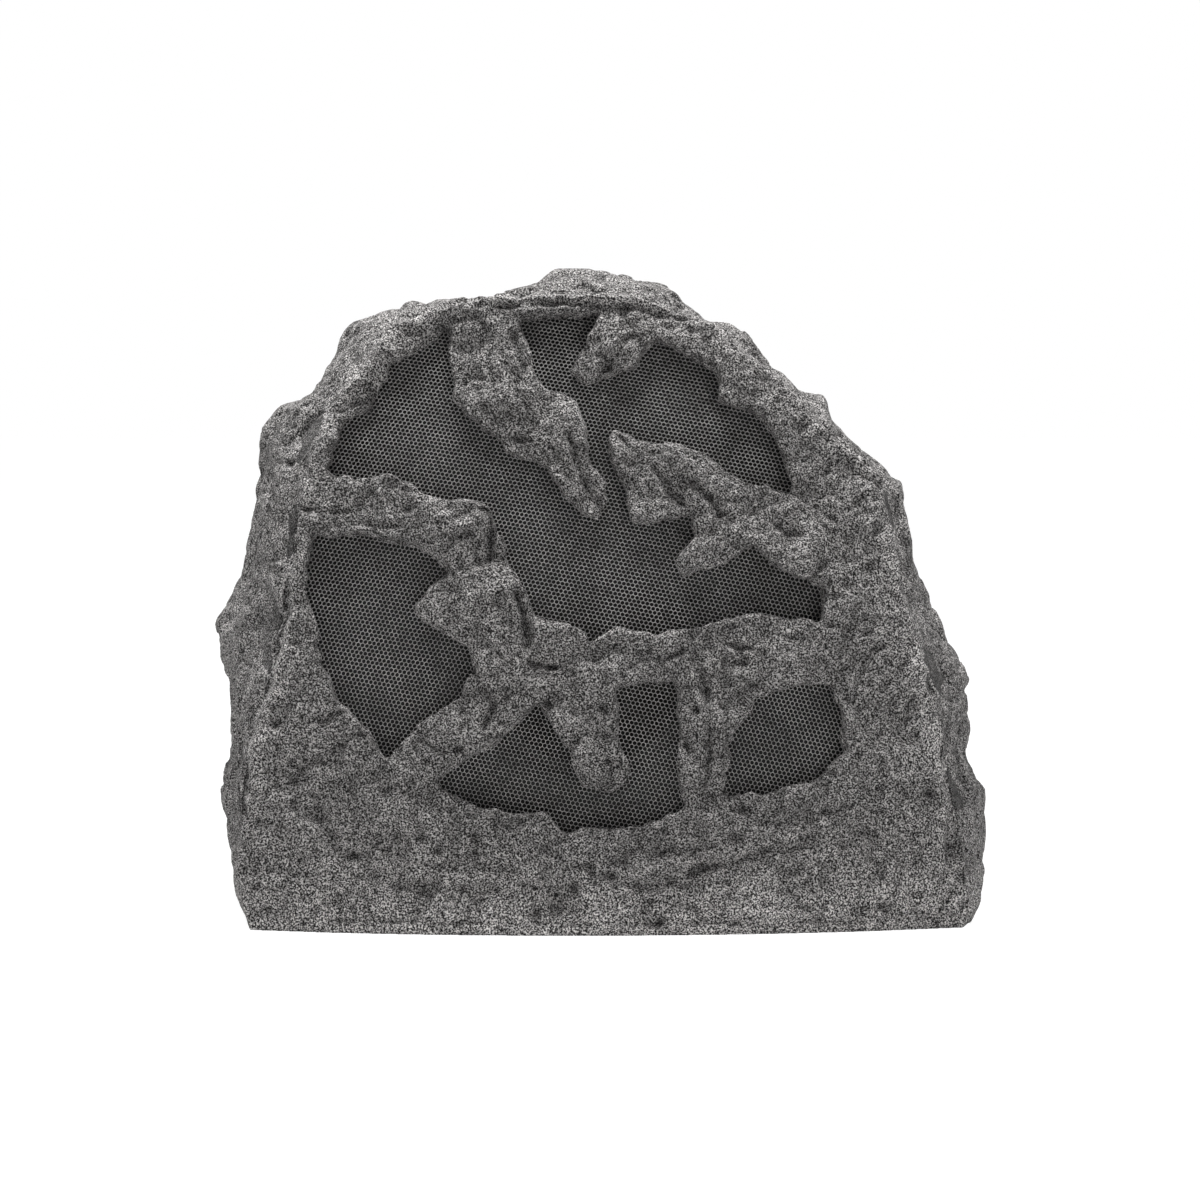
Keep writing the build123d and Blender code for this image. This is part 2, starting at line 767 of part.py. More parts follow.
# Voice coil, cone and dust cap, which move together
winding_foot = -winding_top_depth - winding_length
rim_top = flange_front - glue_gap
rim_inner = cone_rim_radius - cone_lip
neck_radius = former_radius + glue_gap
cone_slope = (rim_top + cone_neck_depth) / (rim_inner - neck_radius)
dust_cap_foot = -cone_neck_depth + (dust_cap_radius - neck_radius) * cone_slope + glue_gap
with BuildPart() as voice_coil:
    turn(
        woofer_seat,
        [
            (former_bore, -former_end_depth),
            (former_radius, -former_end_depth),
            (former_radius, winding_foot),
            (winding_radius, winding_foot),
            (winding_radius, -winding_top_depth),
            (former_radius, -winding_top_depth),
            (former_radius, -cone_neck_depth),
            (former_bore, -cone_neck_depth),
        ],
    )
with BuildPart() as woofer_cone:
    turn(
        woofer_seat,
        [
            (neck_radius, -cone_neck_depth),
            (rim_inner, rim_top),
            (cone_rim_radius, rim_top),
            (cone_rim_radius, rim_top - cone_thickness),
            (rim_inner, rim_top - cone_thickness),
            (neck_radius, -cone_neck_depth - cone_thickness),
        ],
    )
with BuildPart() as dust_cap:
    revolve(
        dome_profile(
            woofer_seat,
            dust_cap_radius,
            dust_cap_rise,
            dust_cap_foot,
            dust_cap_thickness,
            dust_cap_radius - dust_cap_thickness,
        ),
        axis=Axis(woofer_seat.origin, woofer_seat.z_dir),
    )

# Surround: a half roll between the cone and the frame
roll_centre = cone_rim_radius + roll_radius
roll_outer = sqrt(roll_radius**2 - surround_thickness**2)
roll_inner = roll_radius - surround_thickness
surround_top = flange_front + surround_thickness
with BuildPart() as woofer_surround:
    with BuildSketch(turning_plane(woofer_seat)):
        with BuildLine():
            under = ThreePointArc(
                (roll_centre - roll_inner, flange_front),
                (roll_centre, flange_front + roll_inner),
                (roll_centre + roll_inner, flange_front),
            )
            over = ThreePointArc(
                (roll_centre - roll_outer, surround_top),
                (roll_centre, flange_front + roll_radius),
                (roll_centre + roll_outer, surround_top),
            )
            Polyline(
                over @ 0,
                (rim_inner, surround_top),
                (rim_inner, flange_front),
                under @ 0,
            )
            Polyline(
                over @ 1,
                (roll_centre + roll_radius + surround_lip, surround_top),
                (roll_centre + roll_radius + surround_lip, flange_front),
                under @ 1,
            )
        make_face()
    revolve(axis=Axis(woofer_seat.origin, woofer_seat.z_dir))

# Spider: a corrugated disc between the voice coil and the shelf of the frame
spider_bore = former_radius + glue_gap
spider_edge = basket_shelf_bore + spider_lip
spider_start = spider_bore + spider_collar
spider_step = (basket_shelf_bore - spider_start) / (2 * spider_waves)
wave_line = [
    (spider_start + index * spider_step, -basket_shelf_depth + spider_wave * (index % 2))
    for index in range(2 * spider_waves + 1)
]
spider_line = [(spider_bore, -basket_shelf_depth), *wave_line, (spider_edge, -basket_shelf_depth)]
with BuildPart() as spider:
    turn(
        woofer_seat,
        spider_line + [(radius, level + spider_thickness) for radius, level in reversed(spider_line)],
    )

# Tweeter: face plate, film dome with its coil, and magnet system in a cup
spigot_radius = tweeter_hole_radius - tweeter_spigot_clearance
spigot_bore = spigot_radius - tweeter_spigot_wall
film_front = -tweeter_film_gap
film_back = film_front - tweeter_film
cup_radius = spigot_bore - tweeter_cup_clearance
cup_front = film_back - tweeter_film_gap
cup_back = cup_front - tweeter_cup_length
cup_floor = cup_back + tweeter_cup_floor
pole_foot = cup_floor + tweeter_magnet_thickness
with BuildPart() as tweeter_faceplate:
    turn(
        tweeter_seat,
        [
            (tweeter_throat_radius, 0),
            (tweeter_throat_radius, tweeter_throat_length),
            (tweeter_horn_radius, tweeter_plate_thickness),
            (tweeter_plate_radius, tweeter_plate_thickness),
            (tweeter_plate_radius, 0),
            (spigot_radius, 0),
            (spigot_radius, -tweeter_spigot_length),
            (spigot_bore, -tweeter_spigot_length),
            (spigot_bore, 0),
        ],
    )
    bore_holes(
        tweeter_seat,
        on_circle((0, 0), tweeter_screw_circle, tweeter_screws_count, tweeter_screws_start),
        tweeter_shank_radius + screw_clearance,
        0,
        tweeter_plate_thickness,
    )
with BuildPart() as tweeter_diaphragm:
    ring(tweeter_seat, tweeter_dome_radius - tweeter_film, cup_radius, film_back, film_front)
    ring(
        tweeter_seat,
        tweeter_dome_radius - tweeter_film,
        tweeter_dome_radius,
        film_back - tweeter_coil_length,
        film_back,
    )
    revolve(
        dome_profile(
            tweeter_seat,
            tweeter_dome_radius,
            tweeter_dome_rise,
            film_front,
            tweeter_film,
            tweeter_dome_radius - tweeter_film,
        ),
        axis=Axis(tweeter_seat.origin, tweeter_seat.z_dir),
    )
with BuildPart() as tweeter_cup:
    turn(
        tweeter_seat,
        [
            (0, cup_back),
            (cup_radius, cup_back),
            (cup_radius, cup_front),
            (cup_radius - tweeter_cup_wall, cup_front),
            (cup_radius - tweeter_cup_wall, cup_floor),
            (0, cup_floor),
        ],
    )
with BuildPart() as tweeter_magnet:
    ring(tweeter_seat, 0, tweeter_magnet_radius, cup_floor, pole_foot)
with BuildPart() as tweeter_pole:
    pole_side = tweeter_dome_radius - tweeter_film - tweeter_coil_gap
    ring(tweeter_seat, 0, pole_side, pole_foot, pole_foot + tweeter_pole_thickness)
with BuildPart() as tweeter_strip:
    ring(tweeter_seat, 0, tweeter_strip_radius, cup_back - strip_thickness, cup_back)
with BuildPart() as tweeter_tabs:
    with BuildSketch(tweeter_seat.offset(cup_back - strip_thickness)):
        with GridLocations(tweeter_blade_spacing, 0, 2, 1):
            Rectangle(blade_thickness, blade_width)
    extrude(amount=-blade_length)
with BuildPart() as tweeter_screws:
    pan_screws(
        baffle_plane.offset(tweeter_plate_thickness),
        tweeter_screw_places,
        tweeter_shank_radius,
        tweeter_screw_length,
        tweeter_head_radius,
        tweeter_head_height,
    )

# Base plate with ribs, bosses for the board and countersunk holes
base_top = base_lift + base_thickness
board_foot = base_top + board_boss_height
board_top = board_foot + board_thickness
board_hole_x = board_length / 2 - board_hole_inset
board_hole_y = board_width / 2 - board_hole_inset
board_holes = [
    (x, board_y + y) for x in (-board_hole_x, board_hole_x) for y in (-board_hole_y, board_hole_y)
]
head_top = base_lift + base_head_height
with BuildPart() as base_plate:
    extrude(
        closed_outline(Plane.XY.offset(base_lift), foot_outline, wall + base_gap),
        amount=base_thickness,
    )
    trim_to_dome(front_wall + base_gap)
    with BuildSketch(Plane.XY.offset(base_top)) as ribs:
        with Locations((0, board_y)):
            with GridLocations(0, base_rib_spacing, 1, 2):
                Rectangle(base_rib_length, base_rib_thickness)
    extrude(ribs.sketch, amount=base_rib_height)
    with BuildSketch(Plane.XY.offset(base_top)) as bosses:
        with Locations(*board_holes):
            Circle(board_boss_radius)
    extrude(bosses.sketch, amount=board_boss_height)
    bore_holes(Plane.XY, board_holes, board_shank_radius, base_top, board_foot)
    with Locations(*[Location((x, y, base_lift), (180, 0, 0)) for x, y in base_screw_places]):
        CounterSinkHole(
            base_shank_radius + screw_clearance, base_head_radius + screw_clearance, base_thickness
        )
with BuildPart() as base_gasket:
    extrude(
        closed_outline(Plane.XY.offset(base_top), foot_outline, wall + base_gap),
        amount=recess_height - base_top,
    )
    trim_to_dome(front_wall + base_gap)
    add(hatch.part, mode=Mode.SUBTRACT)
    bore_holes(
        Plane.XY, base_screw_places, base_shank_radius + screw_clearance, base_top, recess_height
    )
with BuildPart() as base_screws:
    for place in base_screw_places:
        turn(
            seat_at(Plane.XY, place),
            [
                (0, base_lift),
                (base_head_radius, base_lift),
                (base_shank_radius, head_top),
                (base_shank_radius, recess_height + base_screw_bite),
                (0, recess_height + base_screw_bite),
            ],
        )
    with BuildSketch(Plane.XY.offset(base_lift)) as sockets:
        with Locations(*base_screw_places):
            RegularPolygon(base_socket_radius, 6)
    extrude(sockets.sketch, amount=base_socket_depth, mode=Mode.SUBTRACT)

# Crossover board and its parts
with BuildPart() as crossover_board:
    with BuildSketch(Plane.XY.offset(board_foot)):
        with Locations((0, board_y)):
            Rectangle(board_length, board_width)
    extrude(amount=board_thickness)
    bore_holes(Plane.XY, board_holes, board_shank_radius + screw_clearance, board_foot, board_top)
with BuildPart() as board_screws:
    pan_screws(
        Plane.XY.offset(board_top),
        board_holes,
        board_shank_radius,
        board_screw_length,
        board_head_radius,
        board_head_height,
    )
with BuildPart() as crossover_inductor:
    coil_seat = seat_at(Plane.XY, inductor_place)
    ring(coil_seat, inductor_bore, inductor_radius, board_top, board_top + inductor_height)
with BuildPart() as crossover_capacitors:
    with Locations(*[(capacitor_x, y, board_top + part_lift + capacitor_radius) for y in capacitor_rows]):
        Cylinder(capacitor_radius, capacitor_length, rotation=(0, 90, 0))
with BuildPart() as crossover_resistor:
    with Locations((*resistor_place, board_top)):
        Box(*resistor_size, align=(Align.CENTER, Align.CENTER, Align.MIN))
with BuildPart() as terminal_block:
    with Locations((*block_place, board_top)):
        Box(*block_size, align=(Align.CENTER, Align.CENTER, Align.MIN))
    block_top = board_top + block_size[2]
    block_pitch = block_size[0] / block_ways
    block_holes = [(block_place[0] + block_pitch * index, block_place[1]) for index in (-1, 0, 1)]
    bore_holes(Plane.XY, block_holes, block_screw_radius, block_top, block_top - block_screw_depth)

# Leads from the drivers to the board
woofer_plug = seat_at(woofer_seat, strip_place).offset(strip_back - blade_length)
woofer_route = lead_points(woofer_plug, woofer_lead_bends)
with BuildPart() as woofer_lead:
    with BuildSketch(woofer_plug):
        Rectangle(*plug_size)
    extrude(amount=-plug_length)
    with BuildLine() as woofer_path:
        FilletPolyline(*woofer_route, radius=lead_radii(woofer_route))
    with BuildSketch(Plane(woofer_route[0], z_dir=woofer_route[1] - woofer_route[0])):
        Circle(lead_radius)
    sweep(path=woofer_path.line)
tweeter_plug = tweeter_seat.offset(cup_back - strip_thickness - blade_length)
tweeter_route = lead_points(tweeter_plug, tweeter_lead_bends)
with BuildPart() as tweeter_lead:
    with BuildSketch(tweeter_plug):
        Rectangle(*plug_size)
    extrude(amount=-plug_length)
    with BuildLine() as tweeter_path:
        FilletPolyline(*tweeter_route, radius=lead_radii(tweeter_route))
    with BuildSketch(Plane(tweeter_route[0], z_dir=tweeter_route[1] - tweeter_route[0])):
        Circle(lead_radius)
    sweep(path=tweeter_path.line)

# Cable gland
hex_foot = gland_seal_thickness
hex_top = hex_foot + gland_hex_height
spigot_top = hex_top + gland_spigot
grommet_top = spigot_top + grommet_head_length
cap_top = grommet_top + gland_fit + gland_cap_lip
nut_back = -wall - gland_nut_thickness
with BuildPart() as gland_seal:
    ring(gland_seat, gland_thread_radius + gland_fit, gland_seal_radius, 0, hex_foot)
with BuildPart() as gland_body:
    ring(gland_seat, gland_bore, gland_thread_radius, nut_back - gland_tail, spigot_top)
    with BuildSketch(gland_seat.offset(hex_foot)) as body_hex:
        RegularPolygon(gland_hex_radius, 6)
        Circle(gland_bore, mode=Mode.SUBTRACT)
    extrude(body_hex.sketch, amount=gland_hex_height)
with BuildPart() as gland_nut:
    with BuildSketch(gland_seat.offset(nut_back)):
        RegularPolygon(gland_hex_radius, 6)
        Circle(gland_thread_radius + gland_fit, mode=Mode.SUBTRACT)
    extrude(amount=gland_nut_thickness)
with BuildPart() as gland_grommet:
    turn(
        gland_seat,
        [
            (grommet_bore, hex_top),
            (gland_bore - gland_fit, hex_top),
            (gland_bore - gland_fit, spigot_top),
            (grommet_head_radius, spigot_top),
            (grommet_head_radius, grommet_top),
            (grommet_bore, grommet_top),
        ],
    )
with BuildPart() as gland_cap:
    turn(
        gland_seat,
        [
            (gland_thread_radius + gland_fit, hex_top + gland_fit),
            (gland_cap_radius, hex_top + gland_fit),
            (gland_cap_radius, grommet_top),
            (gland_cap_radius - gland_cap_lip, cap_top),
            (gland_cap_mouth, cap_top),
            (gland_cap_mouth, grommet_top + gland_fit),
            (grommet_head_radius + gland_fit, grommet_top + gland_fit),
            (grommet_head_radius + gland_fit, spigot_top),
            (gland_thread_radius + gland_fit, spigot_top),
        ],
    )

# Each piece in a file of its own
pieces = {
    "rock_face": rock_face,
    "rock_shell": rock_shell,
    "baffle_spacers": baffle_spacers,
    "grille_sheet": grille_sheet,
    "baffle_seal": baffle_seal,
    "baffle": baffle,
    "baffle_screws": baffle_screws,
    "woofer_gasket": woofer_gasket,
    "woofer_basket": woofer_basket,
    "woofer_screws": woofer_screws,
    "terminal_strip": terminal_strip,
    "terminal_tabs": terminal_tabs,
    "top_plate": top_plate,
    "magnet": magnet,
    "back_plate": back_plate,
    "voice_coil": voice_coil,
    "woofer_cone": woofer_cone,
    "dust_cap": dust_cap,
    "woofer_surround": woofer_surround,
    "spider": spider,
    "tweeter_faceplate": tweeter_faceplate,
    "tweeter_diaphragm": tweeter_diaphragm,
    "tweeter_cup": tweeter_cup,
    "tweeter_magnet": tweeter_magnet,
    "tweeter_pole": tweeter_pole,
    "tweeter_strip": tweeter_strip,
    "tweeter_tabs": tweeter_tabs,
    "tweeter_screws": tweeter_screws,
    "base_plate": base_plate,
    "base_gasket": base_gasket,
    "base_screws": base_screws,
    "crossover_board": crossover_board,
    "board_screws": board_screws,
    "crossover_inductor": crossover_inductor,
    "crossover_capacitors": crossover_capacitors,
    "crossover_resistor": crossover_resistor,
    "terminal_block": terminal_block,
    "woofer_lead": woofer_lead,
    "tweeter_lead": tweeter_lead,
    "gland_seal": gland_seal,
    "gland_body": gland_body,
    "gland_nut": gland_nut,
    "gland_grommet": gland_grommet,
    "gland_cap": gland_cap,
}
for name, piece in pieces.items():
    piece.part.label = name
    export_step(piece.part, f"parts/{name}.step")
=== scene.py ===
import math

import bpy
import numpy as np
from bpy.props import FloatProperty, FloatVectorProperty, IntProperty, PointerProperty
from mathutils import Matrix, Vector


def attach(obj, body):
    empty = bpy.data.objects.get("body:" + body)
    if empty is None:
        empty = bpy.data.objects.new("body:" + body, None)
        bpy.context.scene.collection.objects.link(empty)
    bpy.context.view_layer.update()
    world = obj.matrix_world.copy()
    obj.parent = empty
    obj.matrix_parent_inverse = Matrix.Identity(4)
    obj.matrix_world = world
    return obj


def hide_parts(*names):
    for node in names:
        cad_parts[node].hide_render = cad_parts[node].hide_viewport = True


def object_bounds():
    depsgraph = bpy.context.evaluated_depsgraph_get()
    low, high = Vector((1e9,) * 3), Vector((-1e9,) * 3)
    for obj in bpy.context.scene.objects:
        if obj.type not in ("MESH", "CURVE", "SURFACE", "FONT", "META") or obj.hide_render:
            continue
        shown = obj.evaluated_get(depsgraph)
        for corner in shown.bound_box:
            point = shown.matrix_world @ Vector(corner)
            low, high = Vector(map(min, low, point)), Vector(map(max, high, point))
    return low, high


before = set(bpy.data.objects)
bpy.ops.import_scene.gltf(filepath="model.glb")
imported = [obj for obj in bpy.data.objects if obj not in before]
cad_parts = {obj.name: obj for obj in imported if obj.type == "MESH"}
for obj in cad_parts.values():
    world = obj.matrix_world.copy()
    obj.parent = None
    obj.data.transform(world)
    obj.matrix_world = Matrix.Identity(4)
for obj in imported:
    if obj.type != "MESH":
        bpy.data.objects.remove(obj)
cad_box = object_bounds()

bl_info = {
    "name": "Garden Rock Speaker",
    "version": (1, 0, 0),
    "blender": (4, 5, 0),
    "location": "3D View > Sidebar > Rock Speaker",
    "description": "Weathers the moulded boulder, perforates its sheet and finishes every part",
    "category": "Object",
}

MM = 0.001

# The domed face and the plane of its windows, in millimetres
FACE_LEAN = math.radians(14.0)
FACE_UP = np.array([0.0, math.sin(FACE_LEAN), math.cos(FACE_LEAN)])
FACE_OUT = np.array([0.0, -math.cos(FACE_LEAN), math.sin(FACE_LEAN)])
WINDOW_FOOT = np.array([0.0, -159.824, 0.0])
DOME_CENTRE = np.array([-12.0, 789.131, -40.618])
DOME_RADIUS = 950.0
WALL_DEPTH = 10.0

# The mesh of the boulder: the face's bite into the body, and how the inside is told and thinned
FACE_BITE = 0.5
INSIDE_EXPOSURE = 0.02
INSIDE_SHARE = 0.04
GROUP_STEPS = 100

# Where the weather reaches, as the ranges over which it grows or fades
BOULDER_HEART = np.array([0.0, 10.0, 120.0])
FACING_RANGE = (0.0, 0.3)
GROUND_RANGE = (0.5, 8.0)
GLAND_SEAT = np.array([-40.0, 124.138, 52.896])
GLAND_OUT = np.array([0.0, 0.970296, 0.241922])
GLAND_RANGE = (19.0, 34.0)
GLAND_SIDE = 80.0
LIP_REACH = 4.0
LIP_BACK = WALL_DEPTH - 1.0
LIP_EXPOSURE = 0.9
LIP_RANGE = (3.0, WALL_DEPTH - 2.0)
PIT_SIZE = 4.0

# The carved front, as far back as it goes and as deep as it may sink under the dome
FRONT_RANGE = (0.1, 0.5)
FRONT_DEPTH = (WALL_DEPTH - 3.0, WALL_DEPTH)
FRONT_END = 20.0
FRONT_SURE = 0.2
DEEPEST = 8.8
LIP_WIDTH = 9.0

# The ribs and crevices of the face
ROUND_WIDTH = 4.0
RIB_REACH = 16.0
FLUTE_WANDER = 3.0
GROOVE_RANGE = (0.3, 0.75)
CREVICE_WANDER = 1.2
CREVICE_FLOOR = 1.25

# The rim round the face, the groove outside it and the painted highlight along it
RIM_DEPTH = 4.0 * WALL_DEPTH
RIM_END = -20.0
RIM_FOOT = 45.0
RIGHT_RIM_FOOT = 24.0
RIM_WANDER = 2.5
RIM_INSET = 2.5
RIM_WIDTH = 3.5
RIM_GROOVE_START = (0.0, 5.0)
RIM_GROOVE_END = (7.0, 30.0)
HIGHLIGHT_MIDDLE = 3.0
HIGHLIGHT_WIDTH = 8.0

# The tone of plain stone, the painted shade round the windows, the depth at which a hollow gets its full
# painted shade, and the height over which painted bounce light lifts the foot
PLAIN_TONE = 0.25
WINDOW_SHADE_RANGE = (6.0, 30.0)
HOLLOW_ROUNDS = 5
HOLLOW_FULL = 1.6
FOOT_LIGHT_HEIGHT = 160.0

# The rounding of the foot
FOOT_HEIGHT = 18.0
FOOT_ROUND = 4.5
FOOT_RANGE = (140.0, 170.0)

# The sheet behind the windows
SHEET_DEPTH = 10.2
SHEET_FOOT = 37.0
SHEET_INSET = 6.5
SHEET_SPARE = 4.0
HOLE_SIDES = 6
BORDER_CELL = 5.0
BORDER_COLUMNS = 76
BORDER_ROWS = 64
BORDER_MIDDLE = 190.0
BORDER_OFF_WINDOW = 9.0
BORDER_MARGIN = 3.0

# Seeds of the noise, one run of numbers for each use
POCK_SEED = 30
WANDER_SEED = 40
RIM_SEED = 50
LIP_SEED = 60
COARSE_SEED = 80
FINE_SEED = 120
CREVICE_SEED = 160
BREAK_SEED = 240

# The lamps and the floor of the studio, in metres
LEFT_LAMP = (-1.6, -0.3, 1.0)
RIGHT_LAMP = (1.3, -1.0, 1.0)
TOP_LAMP = (-0.1, 0.03, 2.2)
LAMP_SIZE = 0.8
LAMP_AIM = (0.0, 0.0, 0.15)
FLOOR_SIZE = 40.0
FLOOR_SHADE = 0.86
FLOOR_GLOW = 1.15
FLOOR_GLOW_SHARE = 0.86
WHITE = (1.0, 1.0, 1.0, 1.0)

# Outlines on the plane of the windows, as (across, up)
FACE_OUTLINE = [
    (-183, 0), (-186, 65), (-183, 101), (-166, 147), (-163, 183), (-157, 231), (-152, 257), (-145, 277),
    (-138, 293), (-112, 327), (-88, 339), (-52, 346), (-24, 347), (4, 346), (32, 340), (56, 332),
    (74, 324), (102, 297), (114, 284), (124, 273), (152, 245), (160, 191), (174, 137), (181, 95),
    (184, 69), (183, 0),
]
UPPER_WINDOW = [
    (-82, 329), (-114, 307), (-124, 285), (-136, 278), (-147, 250), (-133, 244), (-111, 248),
    (-90, 234), (-60, 231), (-47, 201), (-32, 167), (-12, 163), (-4, 155), (11, 162), (32, 159),
    (85, 171), (119, 168), (120, 185), (93, 196), (83, 206), (62, 195), (45, 189), (40, 196), (51, 213),
    (48, 223), (26, 216), (15, 221), (13, 239), (3, 263), (8, 271), (57, 256), (75, 244), (104, 236),
    (100, 261), (88, 280), (66, 287), (64, 303), (33, 321), (19, 306), (-4, 295), (-17, 303), (0, 336),
    (-43, 335), (-33, 298), (-9, 285), (-4, 257), (6, 231), (-1, 220), (-10, 222), (-32, 253),
    (-46, 255), (-78, 287),
]
LEFT_WINDOW = [
    (-154, 214), (-121, 212), (-90, 202), (-83, 192), (-99, 174), (-95, 166), (-71, 153), (-67, 141),
    (-75, 124), (-98, 110), (-110, 93), (-126, 113), (-139, 125), (-145, 142), (-150, 159), (-156, 185),
]
LOWER_WINDOW = [
    (-85, 79), (-60, 97), (-30, 120), (-16, 97), (-9, 79), (6, 74), (19, 85), (11, 104), (10, 129),
    (40, 134), (43, 109), (41, 89), (45, 69), (25, 57), (-20, 56), (-28, 64), (-60, 66),
]
RIGHT_WINDOW = [
    (84, 124), (69, 99), (68, 75), (88, 75), (117, 83), (129, 97), (130, 113), (123, 133), (102, 132),
]
WINDOWS = {
    "upper": UPPER_WINDOW,
    "left": LEFT_WINDOW,
    "lower": LOWER_WINDOW,
    "right": RIGHT_WINDOW,
}

# Middle lines of the ribs between the windows, along which the stone is fluted
RIBS = [
    [(-59, 336), (-38, 282), (-22, 252), (0, 222)],
    [(34, 330), (-13, 297)],
    [(140, 236), (80, 226), (5, 263)],
    [(140, 236), (70, 212), (43, 191)],
    [(-156, 232), (-100, 222), (-59, 222), (-36, 153)],
    [(-60, 200), (-92, 168)],
    [(-36, 150), (40, 148), (100, 151), (150, 160)],
    [(-34, 150), (-70, 118), (-103, 84)],
    [(-22, 150), (0, 104), (10, 72)],
    [(54, 150), (56, 104), (57, 56)],
    [(140, 230), (150, 140), (140, 60)],
    [(-165, 90), (-120, 50), (-60, 38), (30, 36), (120, 50)],
]

# Crevices in the face as (route, half width, depth)
CREVICES = [
    ([(-46, 324), (-41, 306), (-43, 288)], 3.2, 3.4),
    ([(-16, 268), (-12, 250), (-5, 236)], 2.8, 3.2),
    ([(17, 322), (8, 308), (-1, 298)], 3.0, 3.0),
    ([(30, 249), (36, 240), (44, 229)], 3.0, 3.4),
    ([(50, 241), (60, 231), (64, 223)], 3.4, 3.4),
    ([(-61, 226), (-56, 214), (-58, 200)], 3.0, 3.4),
    ([(-44, 180), (-39, 166), (-37, 151)], 2.8, 3.6),
    ([(-36, 143), (-24, 141)], 2.2, 3.4),
    ([(52, 146), (58, 122), (59, 92)], 2.8, 2.6),
    ([(66, 146), (66, 122), (69, 98)], 2.6, 2.4),
    ([(68, 154), (78, 152), (88, 148)], 2.2, 2.4),
    ([(118, 165), (130, 164), (144, 161)], 2.2, 2.0),
    ([(-4, 35), (12, 29), (30, 27), (55, 36), (95, 48)], 3.4, 2.6),
    ([(-150, 66), (-138, 46), (-123, 43), (-113, 29), (-90, 24)], 5.0, 3.4),
    ([(-140, 9), (-80, 7), (0, 6), (80, 7), (150, 9)], 1.3, 1.2),
    ([(-23, 20), (-22, 16)], 5.5, 4.4),
    ([(94, 217), (108, 212)], 2.2, 1.6),
    ([(-66, 138), (-56, 122), (-60, 108)], 2.6, 2.6),
    ([(-92, 102), (-80, 96), (-76, 84)], 2.4, 2.0),
    ([(120, 226), (134, 214), (138, 200)], 2.6, 2.2),
    ([(142, 148), (136, 124), (144, 100)], 3.0, 2.2),
    ([(20, 150), (34, 146), (44, 149)], 2.2, 2.2),
    ([(92, 66), (110, 62), (132, 70)], 3.2, 2.2),
    ([(-54, 340), (-22, 342), (22, 339), (54, 331)], 2.6, 3.0),
    ([(-158, 86), (-128, 58), (-100, 44), (-70, 37), (-30, 40)], 12.0, 2.4),
    ([(10, 44), (60, 46), (110, 58), (150, 84)], 9.0, 2.0),
]


class SpeakerLook(bpy.types.PropertyGroup):
    """Sizes and colours of the boulder and its sheet."""

    voxel: FloatProperty(
        name="Grain of the mesh", description="Size of the boulder's mesh cells",
        default=1.35 * MM, min=1.0 * MM, unit="LENGTH",
    )
    lump_size: FloatProperty(
        name="Lump size", description="Distance between the broad lumps of the stone",
        default=42.0 * MM, unit="LENGTH",
    )
    lump_height: FloatProperty(
        name="Lump height", description="Height of the broad lumps",
        default=1.6 * MM, unit="LENGTH",
    )
    crag_size: FloatProperty(
        name="Crag size", description="Distance between the sharp crags",
        default=24.0 * MM, unit="LENGTH",
    )
    crag_depth: FloatProperty(
        name="Crag depth", description="Depth of the clefts between the crags",
        default=2.2 * MM, unit="LENGTH",
    )
    chip_size: FloatProperty(
        name="Chip size", description="Distance between the small chips",
        default=10.0 * MM, unit="LENGTH",
    )
    chip_depth: FloatProperty(
        name="Chip depth", description="Depth of the small chips",
        default=0.9 * MM, unit="LENGTH",
    )
    pitting: FloatProperty(
        name="Pitting", description="Depth of the fine pits",
        default=0.55 * MM, unit="LENGTH",
    )
    flute_height: FloatProperty(
        name="Flute height", description="Height of the flutes along the ribs",
        default=1.8 * MM, unit="LENGTH",
    )
    groove_depth: FloatProperty(
        name="Groove depth", description="Depth of the broken grooves along the ribs",
        default=1.0 * MM, unit="LENGTH",
    )
    pock_depth: FloatProperty(
        name="Pock depth", description="Depth of the pock marks",
        default=1.5 * MM, unit="LENGTH",
    )
    rib_round: FloatProperty(
        name="Rib rounding", description="How far the stone falls away towards the windows",
        default=1.6 * MM, unit="LENGTH",
    )
    lip_wander: FloatProperty(
        name="Uneven edges", description="How far the edges of the windows wander",
        default=1.7 * MM, unit="LENGTH",
    )
    rim_height: FloatProperty(
        name="Rim height", description="Height of the rim round the face",
        default=1.6 * MM, unit="LENGTH",
    )
    rim_groove: FloatProperty(
        name="Rim groove", description="Depth of the groove outside the rim",
        default=5.0 * MM, unit="LENGTH",
    )
    triangles: IntProperty(
        name="Triangles", description="Most triangles in the boulder's mesh",
        default=194000, min=20000, max=199000,
    )
    grain: FloatProperty(
        name="Speckle size", description="Size of the granite's grains",
        default=0.86 * MM, unit="LENGTH",
    )
    stone_dark: FloatVectorProperty(
        name="Dark grains", description="Colour of the darkest grains",
        default=(0.009, 0.0086, 0.0084), subtype="COLOR",
    )
    stone_middle: FloatVectorProperty(
        name="Middle grains", description="Colour of most of the grains",
        default=(0.112, 0.107, 0.105), subtype="COLOR",
    )
    stone_light: FloatVectorProperty(
        name="Light grains", description="Colour of the lightest grains",
        default=(0.50, 0.485, 0.475), subtype="COLOR",
    )
    sheet_paint: FloatVectorProperty(
        name="Sheet paint", description="Colour of the perforated sheet",
        default=(0.35, 0.341, 0.335), subtype="COLOR",
    )
    hole_pitch: FloatProperty(
        name="Hole pitch", description="Distance between the holes in the sheet",
        default=2.38 * MM, unit="LENGTH",
    )
    hole_radius: FloatProperty(
        name="Hole radius", description="Corner radius of the six-sided holes",
        default=1.18 * MM, unit="LENGTH",
    )
    row_slope: FloatProperty(
        name="Slope of the rows", description="How far the rows of holes fall to the right",
        default=math.radians(-10.8), subtype="ANGLE",
    )
    sheet_thickness: FloatProperty(
        name="Sheet thickness", description="Thickness of the perforated sheet",
        default=0.7 * MM, unit="LENGTH",
    )


